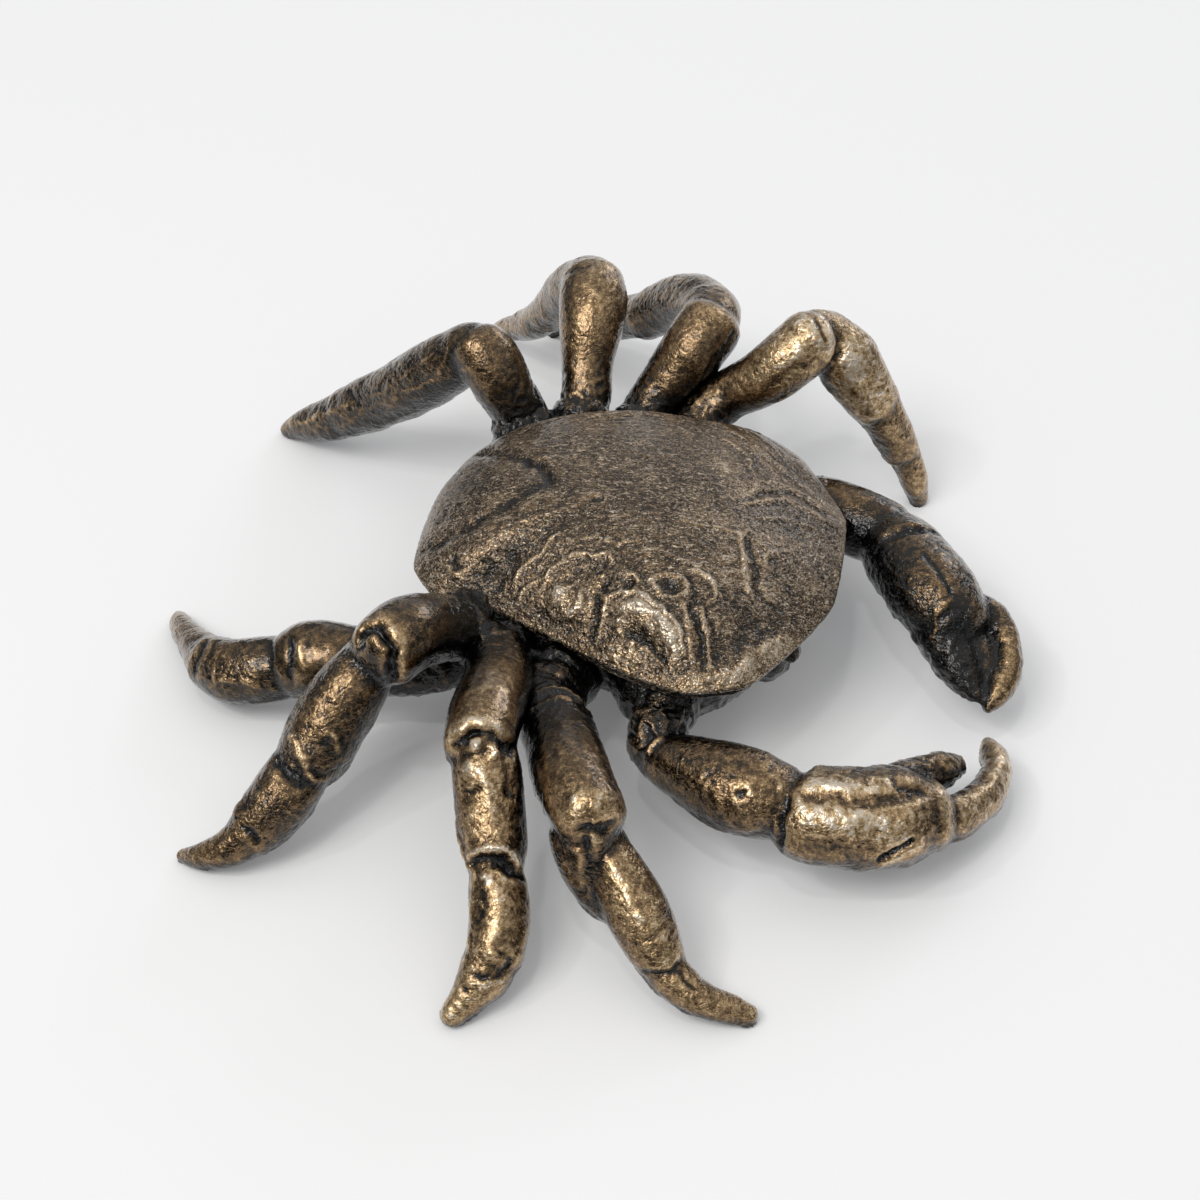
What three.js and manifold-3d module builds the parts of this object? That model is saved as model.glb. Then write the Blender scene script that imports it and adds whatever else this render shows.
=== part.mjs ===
// A crab cast in bronze: a domed carapace carried on eight walking legs, with two claws that
// curve in front of it until their tips nearly meet. One casting, modelled as its body and
// the ten limbs that fork from it.
//
// Frame, in millimetres: +X is the crab's left, -Y its front, +Z up, and the floor is z = 0.

import * as THREE from 'three';
import { mergeVertices } from 'three/addons/utils/BufferGeometryUtils.js';
import Module from 'manifold-3d';

const wasm = await Module();
wasm.setup();

// ---------------------------------------------------------------- driving dimensions

// Where the middle of the carapace stands, so that the whole crab is centred on the origin.
const CARAPACE_X = 3;
const CARAPACE_Y = -6.8;

// The carapace: its rim's height above the floor, and how far the dome rises above the rim.
const RIM_Z = 24;
const CROWN = 12;
// The dome's profile is (1 - f ** CROWN_FLATNESS) ** CROWN_SHOULDER, f running from 0 in the
// middle to 1 at the rim: a broad flat top that rolls over at the edge.
const CROWN_FLATNESS = 2.6;
const CROWN_SHOULDER = 0.75;

// The body under the rim, as [share of the outline, height]: lip, groove, flank and belly.
const UNDERSIDE = [[0.42, 6.5], [0.66, 7.5], [0.8, 11], [0.85, 15.5], [0.85, 19], [0.95, 21.5]];
const DOME_STEPS = [1, 0.97, 0.9, 0.81, 0.7, 0.58, 0.45, 0.3, 0.15];
const BODY_SIDES = 42;

// A coxa, the short stub by which a limb leaves the body: how far it runs from the limb's
// first station, and half its thickness at its root and at its end.
const COXA_REACH = 12;
const COXA_ROOT = 6.5;
const COXA_END = 5.75;

// Clearance between the body and a limb, and between limbs that touch.
const PARTING = 0.3;

// Facets around a limb, and a limb's height as a share of its width.
const LIMB_SIDES = 9;
const LIMB_SQUASH = 0.94;
const PALM_SQUASH = 0.86;

// The carapace's outline seen from above, clockwise from the middle of the front margin.
const OUTLINE = [
  [-5, -37.5], [-17, -34.5], [-29, -29], [-33.5, -20], [-32, -9], [-28, 6.5], [-25, 18.5],
  [-25, 27.5], [-20.5, 32.5], [-12, 35], [0, 36.5], [11, 35], [20.5, 30], [28, 21],
  [33, 9], [34.5, -3], [34.5, -13], [31, -21.5], [25, -27.5], [17.5, -33.5], [7, -36],
];

// Relief on the dome: ridges and hollows that follow a short path, as the height at the
// middle of each, its half-width, and the path's points.
const RELIEF = [
  { name: 'rear lobe', height: 1.3, reach: 8, path: [[-6, 28], [0, 24]] },
  { name: 'groove round the rear lobe', height: -1.6, reach: 2.6,
    path: [[-16, 29], [-10, 21], [-3, 14.5], [2, 19], [6, 26]] },
  { name: 'fold in front of the groove', height: 1, reach: 2.6,
    path: [[-18, 27], [-14, 20], [-9, 12]] },
  { name: 'swelling over the first legs', height: 1.2, reach: 4.5, path: [[-22, 7], [-26, -3]] },
  { name: 'ear-shaped ridge', height: 1.5, reach: 2.6,
    path: [[-26, -5], [-22, -6], [-23, -12], [-26, -17], [-28.5, -20]] },
  { name: 'hollow inside the ear', height: -1, reach: 2.6, path: [[-28, -12], [-29, -16]] },
  { name: 'front ridge, right', height: 0.8, reach: 2.4, path: [[-20, -17], [-26, -23]] },
  { name: 'front crease', height: -1, reach: 2.4, path: [[-2, -22], [-9, -25.5], [-14, -30]] },
  { name: 'front ridge, left', height: 1, reach: 2.6, path: [[18, -13], [15, -22], [12, -31]] },
  { name: 'front ridge, middle', height: 0.8, reach: 2.4, path: [[6, -17], [11, -25], [10, -31]] },
];

// The limbs. Each is a chain of segments, and each segment a row of stations
// [x, y, z, half-width], measured from the middle of the carapace.
const LIMBS = {
  claw_right: {
    ischium: [[-22, -10, 15, 6], [-29, -15.5, 15.5, 4.25], [-35, -16, 14, 4],
      [-38, -16, 13, 3.5]],
    merus: [[-36.5, -16, 13, 3.5], [-39, -20.5, 13.5, 5], [-40.5, -26, 14, 6.25],
      [-41.5, -31, 14, 7.25], [-42, -36, 14, 7.25], [-41.5, -39.5, 13.5, 6.5]],
    palm: [[-41.5, -40.5, 13, 5.25], [-42, -43, 13, 7.75], [-41.5, -47.5, 13, 8.5],
      [-39.5, -53, 12.5, 8.75], [-36.5, -58.5, 12, 8.5], [-34.5, -62, 11.5, 6.5]],
    finger: [[-34.5, -61.5, 11, 3.75], [-33.5, -64.5, 10.5, 3.75], [-28.5, -68, 9, 3.5],
      [-22, -70, 8, 3], [-16, -70, 7, 2.5], [-12.5, -68.5, 6.5, 2.25], [-9.5, -67, 6, 1]],
    thumb: [[-30.5, -56.5, 12, 4.25], [-25.5, -59.5, 11, 3.25], [-22, -62.5, 10, 3],
      [-20, -64, 9.5, 1.75]],
  },
  leg_right_1: {
    merus: [[-23, 3, 15, 5], [-36.5, 2, 17, 5.5], [-47, -4.5, 20, 6], [-58, -11, 23, 6.25],
      [-63.5, -15.5, 23.5, 5.75]],
    carpus: [[-63, -14, 19.5, 5.5], [-64.5, -16, 16, 5.75], [-66.5, -19, 12.5, 5]],
    propodus: [[-63.5, -17.5, 17.5, 4.25], [-66.5, -21, 15.5, 4.5], [-69.5, -25, 12.5, 5],
      [-72.5, -29, 9, 4.5], [-74, -31, 7.5, 3.75]],
    dactyl: [[-73.5, -29.5, 7.5, 3.25], [-75.5, -34.5, 5, 3.25], [-76, -38.5, 3.5, 2.75],
      [-75, -43, 2, 2.25], [-74.5, -45.5, 1.25, 1.75]],
  },
  leg_right_2: {
    merus: [[-22, 12, 15, 5], [-27.5, 13, 17.5, 5.25], [-39.5, 9.5, 21.5, 5.75], [-51, 7, 25, 6],
      [-57, 5.5, 25.5, 5.75]],
    carpus: [[-54.5, 6, 23.5, 4.25], [-59, 3.5, 22, 5], [-63, 1.5, 19, 5.5],
      [-67.5, -1, 15.5, 5.25], [-69.5, -2, 14.5, 4.75]],
    propodus: [[-69, -2, 14.5, 3.75], [-72.5, -3.5, 12.5, 4.5], [-77, -5.5, 10, 4.75],
      [-81.5, -6.5, 7.5, 4.5]],
    dactyl: [[-80.5, -6, 7.5, 4.25], [-84.5, -5.5, 5, 4], [-88, -4, 3, 2.75],
      [-90.5, -2.5, 1.5, 2]],
  },
  leg_right_3: {
    merus: [[-19, 20, 18, 5], [-27.5, 20, 20.5, 5.25], [-34.5, 23.5, 25, 6.25],
      [-41.5, 25.5, 28.5, 6.5], [-45.5, 26.5, 28.5, 6.25]],
    carpus: [[-42.5, 29.5, 26, 4], [-47, 30.5, 23.5, 5.5], [-52.5, 33, 19, 6.25],
      [-57, 34.5, 15, 6.25], [-59, 35, 14, 5.75]],
    propodus: [[-59.5, 35.5, 13.5, 5], [-64.5, 37, 10.5, 5.5], [-68.5, 39, 7.5, 5],
      [-71, 40.5, 6, 4.25]],
    dactyl: [[-70.5, 40, 6.5, 4], [-73.5, 43.5, 4, 3.25], [-75, 48, 2, 2.25],
      [-75, 51.5, 0.75, 1.25]],
  },
  leg_right_4: {
    merus: [[-20, 22, 10.5, 4.5], [-28.5, 27, 11, 5.75], [-31, 32.5, 11.5, 6.25],
      [-33, 38, 12, 6]],
    carpus: [[-32.5, 37, 12, 5.5], [-34.5, 42, 12, 6.75], [-35.5, 47, 11, 7],
      [-36, 48.5, 10.5, 6.5]],
    propodus: [[-36, 48, 10, 5.25], [-37.5, 53.5, 8.5, 6], [-38.5, 59.5, 7, 6],
      [-37.5, 65, 6.5, 5]],
    dactyl: [[-37.5, 64.5, 6.5, 4.5], [-33.5, 69.5, 5, 3.5], [-29.5, 74.5, 3.5, 2.5],
      [-25, 78.5, 1.5, 1.75], [-23, 80, 0.5, 1]],
  },
  claw_left: {
    merus: [[25, -17, 15, 5.5], [28, -27, 17, 5.75], [26, -33.5, 17, 6.5],
      [25, -39.5, 16.5, 6.25]],
    palm: [[26, -38, 16, 5.25], [22, -42.5, 16.5, 7.25], [15.5, -48, 17, 7.75],
      [10.5, -53, 16.5, 7.75], [7.5, -57, 15.5, 6.25]],
    finger: [[12, -57.5, 15, 3.75], [12, -62, 14, 3.25], [8, -65.5, 12.5, 2.75],
      [3, -67, 11, 2.75], [-2.5, -66, 9.5, 2.25], [-5, -65.5, 9, 1.25]],
    thumb: [[6.5, -54, 14, 5], [2.5, -57.5, 12.5, 4.25], [-1.5, -61, 11, 3],
      [-4, -63.5, 10, 1.5]],
  },
  leg_left_1: {
    merus: [[27, 4, 15, 5], [44, -3.5, 25, 5], [45.5, -8.5, 28.5, 5.5], [47.5, -13.5, 33, 6],
      [51, -17, 36.5, 6]],
    carpus: [[56, -17.5, 34.5, 5.25], [54.5, -22.5, 31.5, 6.25], [54, -27, 26, 5.75],
      [54, -29.5, 23, 5]],
    propodus: [[54.5, -27.5, 25, 5], [54.5, -32, 18.5, 4.25], [55, -35, 12.5, 3.75]],
    dactyl: [[55.5, -34.5, 13.5, 3.5], [55.5, -37, 9, 3], [55.5, -38.5, 4.5, 2.75],
      [56, -39.5, 0.75, 2]],
  },
  leg_left_2: {
    merus: [[26, 12.5, 15, 5], [40.5, 9.5, 23.5, 5], [44.5, 7, 27.5, 5.75],
      [48, 4.5, 31.5, 6.25], [52, 3, 34, 6.25]],
    carpus: [[57.5, 4, 32.5, 5.5], [65.5, 10.5, 29, 5.75], [69.5, 17.5, 23.5, 5.5],
      [70.5, 22, 19.5, 5]],
    propodus: [[70.5, 20, 21, 4.75], [73.5, 26, 16.5, 4.5], [77, 33, 11.5, 4],
      [78.5, 36.5, 9.5, 3.5]],
    dactyl: [[78.5, 35, 10, 3.25], [82, 40.5, 6.5, 3], [83.5, 45, 3.5, 2], [84.5, 47.5, 0.5, 1.5]],
  },
  leg_left_3: {
    merus: [[24, 20.5, 15, 5], [36, 22, 24, 4.5], [41, 23.5, 28, 5], [45.5, 24.5, 32, 6],
      [51, 26, 35, 6.5], [55, 27.5, 35.5, 6.25]],
    carpus: [[57.5, 29, 34, 5.75], [61, 33.5, 29.5, 5.5], [64, 38.5, 23, 4.5],
      [65.5, 41, 19, 4.25]],
    propodus: [[66, 40.5, 20, 4], [68.5, 44.5, 14.5, 3.75], [71.5, 49, 10, 3.25]],
    dactyl: [[71, 47.5, 11, 3], [74.5, 53, 6.5, 2.75], [76.5, 57.5, 3, 2], [77.5, 61, 0.5, 1.5]],
  },
  leg_left_4: {
    merus: [[20, 27, 14.5, 5], [27.5, 31.5, 22, 5], [28, 35, 27.5, 5.5], [29.5, 38.5, 32, 6],
      [30.5, 41, 34, 5.75]],
    carpus: [[31, 42.5, 32.5, 5.5], [31, 48, 28, 6.25], [31.5, 56.5, 20.5, 6.25],
      [32, 62, 16, 5.75]],
    propodus: [[32, 60, 17.5, 5.75], [32.5, 66, 13, 5.75], [32.5, 70.5, 10, 5.25]],
    dactyl: [[32.5, 69.5, 10.5, 5], [33, 75.5, 6.5, 4.5], [33.5, 82, 3, 3], [33.5, 85.5, 1, 1.5]],
  },
};

// ---------------------------------------------------------------- solids

// A three.js geometry as a solid that can be joined and cut.
function solidOf(geometry) {
  const bare = new THREE.BufferGeometry();
  bare.setAttribute('position', geometry.getAttribute('position').clone());
  bare.setIndex(geometry.getIndex());
  const merged = mergeVertices(bare, 1e-4);
  const solid = new wasm.Manifold(new wasm.Mesh({
    numProp: 3,
    vertProperties: new Float32Array(merged.getAttribute('position').array),
    triVerts: new Uint32Array(merged.getIndex().array),
  }));
  return solid;
}

// A solid as a flat-shaded three.js geometry.
function geometryOf(solid) {
  const mesh = solid.getMesh();
  const geometry = new THREE.BufferGeometry();
  geometry.setAttribute('position', new THREE.BufferAttribute(mesh.vertProperties, 3));
  geometry.setIndex(new THREE.BufferAttribute(mesh.triVerts, 1));
  geometry.computeVertexNormals();
  return geometry;
}

function join(solids) {
  return solids.reduce((whole, piece) => whole.add(piece));
}

// The largest of the pieces that a cut leaves.
function largestPiece(solid) {
  const pieces = solid.decompose();
  return pieces.reduce((best, piece) => (piece.volume() > best.volume() ? piece : best));
}

// A closed skin over rings of equal length, from a first pole to a last one.
function skin(firstPole, rings, lastPole) {
  const sides = rings[0].length;
  const points = [firstPole, ...rings.flat(), lastPole];
  const index = [];
  const at = (ring, side) => 1 + ring * sides + (side % sides);
  for (let s = 0; s < sides; s += 1) {
    index.push(0, at(0, s + 1), at(0, s));
    for (let r = 0; r + 1 < rings.length; r += 1) {
      index.push(at(r, s), at(r, s + 1), at(r + 1, s));
      index.push(at(r, s + 1), at(r + 1, s + 1), at(r + 1, s));
    }
    index.push(at(rings.length - 1, s), at(rings.length - 1, s + 1), points.length - 1);
  }
  const geometry = new THREE.BufferGeometry();
  geometry.setAttribute('position', new THREE.Float32BufferAttribute(
    points.flatMap((point) => point.toArray()), 3));
  geometry.setIndex(index);
  return geometry;
}

// ---------------------------------------------------------------- body

function distanceToPath(x, y, path) {
  const point = new THREE.Vector3(x, y, 0);
  const nearest = new THREE.Vector3();
  let best = Infinity;
  for (let i = 0; i + 1 < path.length; i += 1) {
    const stretch = new THREE.Line3(
      new THREE.Vector3(...path[i], 0), new THREE.Vector3(...path[i + 1], 0));
    stretch.closestPointToPoint(point, true, nearest);
    best = Math.min(best, nearest.distanceTo(point));
  }
  return best;
}

function reliefAt(x, y) {
  return RELIEF.reduce((sum, { height, reach, path }) => {
    const away = distanceToPath(x, y, path) / reach;
    return sum + height * Math.exp(-away * away);
  }, 0);
}

function domeHeight(share) {
  return CROWN * (1 - share ** CROWN_FLATNESS) ** CROWN_SHOULDER;
}

// The body's shell, grown outward by a clearance when it serves as a cutter.
function shell(growth) {
  const margin = new THREE.CatmullRomCurve3(
    OUTLINE.map(([x, y]) => new THREE.Vector3(x, y, 0)), true, 'centripetal');
  const outline = margin.getSpacedPoints(BODY_SIDES).slice(0, BODY_SIDES).reverse();
  const ring = (share, heightAt) => outline.map((point) => {
    const radius = point.length() * share + growth;
    const spot = point.clone().setLength(radius);
    spot.z = heightAt(spot);
    return spot;
  });
  const belly = UNDERSIDE.map(([share, z]) => ring(share, () => z - growth));
  const dome = DOME_STEPS.map((share) => {
    const fade = Math.min(1, (1 - share) * 12);
    return ring(share, ({ x, y }) => (
      RIM_Z + domeHeight(share) + growth + fade * reliefAt(x, y)));
  });
  const bottom = new THREE.Vector3(0, 0, UNDERSIDE[0][1] - growth);
  const top = new THREE.Vector3(0, 0, RIM_Z + CROWN + growth + reliefAt(0, 0));
  return solidOf(skin(bottom, [...belly, ...dome], top));
}

// The stub on the body that runs along a limb's first stretch.
function coxa(segments, growth) {
  const [first, second] = Object.values(segments)[0];
  const root = new THREE.Vector3(...first);
  const end = new THREE.Vector3(...second).sub(root).setLength(COXA_REACH).add(root);
  return segment([[...first.slice(0, 3), COXA_ROOT], [...end, COXA_END]], LIMB_SQUASH, growth);
}

function body(growth) {
  const stubs = Object.values(LIMBS).map((segments) => coxa(segments, growth));
  return join([shell(growth), ...stubs]);
}

// ---------------------------------------------------------------- limbs

// One segment: rings round its stations, closed at each end by a rounded cap.
function segment(stations, squash, growth) {
  const points = stations.map(([x, y, z]) => new THREE.Vector3(x, y, z));
  const last = points.length - 1;
  const tangents = points.map((_, i) => (
    points[Math.min(i + 1, last)].clone().sub(points[Math.max(i - 1, 0)]).normalize()));
  const ring = (centre, tangent, radius) => {
    const across = tangent.clone().cross(new THREE.Vector3(0, 0, 1)).normalize();
    const over = tangent.clone().cross(across).normalize();
    return Array.from({ length: LIMB_SIDES }, (_, side) => {
      const turn = (2 * Math.PI * side) / LIMB_SIDES;
      return centre.clone()
        .addScaledVector(across, (radius + growth) * Math.cos(turn))
        .addScaledVector(over, (radius * squash + growth) * Math.sin(turn));
    });
  };
  const cap = (i, sense) => {
    const radius = stations[i][3];
    const step = (share) => points[i].clone().addScaledVector(tangents[i], sense * share);
    return {
      shoulder: ring(step(radius * 0.42), tangents[i], radius * 0.72),
      pole: step(radius * 0.68 + growth),
    };
  };
  const start = cap(0, -1);
  const end = cap(last, 1);
  const rings = points.map((point, i) => ring(point, tangents[i], stations[i][3]));
  return solidOf(skin(start.pole, [start.shoulder, ...rings, end.shoulder], end.pole));
}

function limb(segments, growth) {
  return join(Object.entries(segments).map(([part, stations]) => (
    segment(stations, part === 'palm' ? PALM_SQUASH : LIMB_SQUASH, growth))));
}

// Everything below the floor, which leaves a small flat under each tip that reaches it.
function belowFloor() {
  return solidOf(new THREE.BoxGeometry(400, 400, 40).translate(0, 0, -20));
}

// ---------------------------------------------------------------- the crab

const crab = new THREE.Group();
crab.name = 'crab';
crab.position.set(CARAPACE_X, CARAPACE_Y, 0);

function addPiece(name, solid) {
  const bronze = new THREE.MeshStandardMaterial({
    color: 0x4f3d28, roughness: 0.42, metalness: 1, flatShading: true,
  });
  const mesh = new THREE.Mesh(geometryOf(solid), bronze);
  mesh.name = name;
  crab.add(mesh);
}

addPiece('body', body(0));
let taken = join([body(PARTING), belowFloor()]);
for (const [name, segments] of Object.entries(LIMBS)) {
  addPiece(name, largestPiece(limb(segments, 0).subtract(taken)));
  taken = taken.add(limb(segments, PARTING));
}

export default crab;
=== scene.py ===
"""A crab cast in bronze, darkened, waxed and rubbed back, standing on its leg tips.

Laid out as an add-on and run as a script. Lengths are in millimetres until a mesh is made, and
are measured from the middle of the carapace: +X to the crab's left, -Y out of its front, +Z up.
The seed that ripple, creased and wander take picks their random pattern.
"""

import itertools
import math

import bpy
import numpy as np
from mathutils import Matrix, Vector
from mathutils.kdtree import KDTree


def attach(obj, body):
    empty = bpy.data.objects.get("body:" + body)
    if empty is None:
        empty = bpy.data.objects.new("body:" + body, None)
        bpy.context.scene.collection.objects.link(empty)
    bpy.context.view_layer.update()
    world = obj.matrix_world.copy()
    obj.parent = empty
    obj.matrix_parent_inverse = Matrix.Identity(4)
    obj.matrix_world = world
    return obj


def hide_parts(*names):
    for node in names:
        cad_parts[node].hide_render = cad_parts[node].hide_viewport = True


bl_info = {
    "name": "Cast Bronze Crab",
    "version": (1, 0, 0),
    "blender": (4, 5, 0),
    "location": "View3D > Sidebar > Bronze Crab",
    "description": "Builds a cast bronze crab and the table that it stands on",
    "category": "Add Mesh",
}

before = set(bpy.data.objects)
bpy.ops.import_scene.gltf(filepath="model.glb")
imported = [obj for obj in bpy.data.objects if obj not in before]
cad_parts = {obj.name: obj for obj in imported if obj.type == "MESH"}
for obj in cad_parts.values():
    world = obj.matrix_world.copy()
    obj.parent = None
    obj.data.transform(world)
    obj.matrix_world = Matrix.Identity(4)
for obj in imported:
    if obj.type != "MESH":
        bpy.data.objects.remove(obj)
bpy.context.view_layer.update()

MM = 0.001
UP = np.array([0.0, 0.0, 1.0])

# ---------------------------------------------------------------- the body's measures

# Where the middle of the carapace stands.
CARAPACE_PLACE = np.array([3.0, -6.8, 0.0])

# The carapace: its rim's height and how far the dome rises above it. The dome's profile is
# (1 - f ** CROWN_FLATNESS) ** shoulder, f running from 0 in the middle to 1 at the rim. The
# shoulder is full at the back and the left of the crab, and falls to a sharp edge on its
# right and in front.
RIM_Z = 24.0
CROWN = 12.0
CROWN_FLATNESS = 2.6
CROWN_SHOULDER = 0.75
EDGE_SHOULDER = 0.98

# The carapace's outline seen from above, clockwise from the middle of the front margin, and
# how far a smooth line through it swings between its points.
OUTLINE = [
    (-5, -37.5), (-17, -34.5), (-29, -29), (-33.5, -20), (-32, -9), (-28, 6.5), (-25, 18.5),
    (-25, 27.5), (-20.5, 32.5), (-12, 35), (0, 36.5), (11, 35), (20.5, 30), (28, 21),
    (33, 9), (34.5, -3), (34.5, -13), (31, -21.5), (25, -27.5), (17.5, -33.5), (7, -36),
]
OUTLINE_SWING = 0.6
OUTLINE_STEP = 0.4

# The rim under the dome's edge, as (share of the outline, drop below the dome's edge): the
# wall, the groove under it, a second lip, and the way in under the shell.
RIM = [
    (1.0, 0.3), (0.997, 0.6), (0.988, 0.9), (0.972, 1.15), (0.955, 1.35), (0.944, 1.7),
    (0.946, 2.1), (0.955, 2.4), (0.96, 2.7), (0.955, 3.05), (0.94, 3.3), (0.91, 3.4),
    (0.86, 3.4), (0.78, 3.2),
]
# How much deeper the wall is at the front left, where the shell's edge turns straight down.
WALL_EXTRA = 2.6
WALL_TURN = math.radians(-28)
WALL_SPREAD = math.radians(34)

# The fine ridges along the far margin: how high and far apart they are, how far each runs,
# and the margin's radius there.
RIDGE_HEIGHT = 0.35
RIDGE_GAP = 1.5
RIDGE_LENGTH = 8.0
MARGIN_RADIUS = 32

# The body under the rim, as (share of the outline, height).
UNDERSIDE = [
    (0.2, 6.3), (0.42, 6.5), (0.56, 6.9), (0.68, 8), (0.77, 10), (0.82, 13), (0.845, 16),
    (0.85, 18.5), (0.84, 20.5), (0.8, 22), (0.5, 23),
]
UNDERSIDE_SIDES = 160

# The folded tail plate along the belly, as stations (x, y, z, half-width), and the length of
# each fold.
TAIL_PLATE = [(0, 30, 9.5, 7), (0, 20, 7.6, 9.5), (0, 8, 6.9, 8), (0, -4, 6.6, 4.5), (0, -9, 6.6, 2)]
TAIL_FOLD = 5.5
# The middle of the face, and its left half: a mouth plate and an eye stalk, as stations
# (x from that middle, y, z, half-width).
FACE_X = -4
MOUTH_PLATE = [(4.2, -27, 18, 3.6), (4.6, -28, 12, 4), (4, -25, 8.5, 2.5)]
EYE_STALK = [(9, -29, 19.5, 2.2), (10, -33.5, 19.5, 1.9)]

# The two short segments by which each limb leaves the body: how far from the limb's root each
# starts and stops, and its half-widths there.
COXA = [(0, 6.5, 6.4, 6.6), (6.5, 10.5, 5.4, 5.9)]

# A mark narrower than this varies in strength along its length, and fades at its ends.
NARROW_MARK = 2.5
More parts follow.
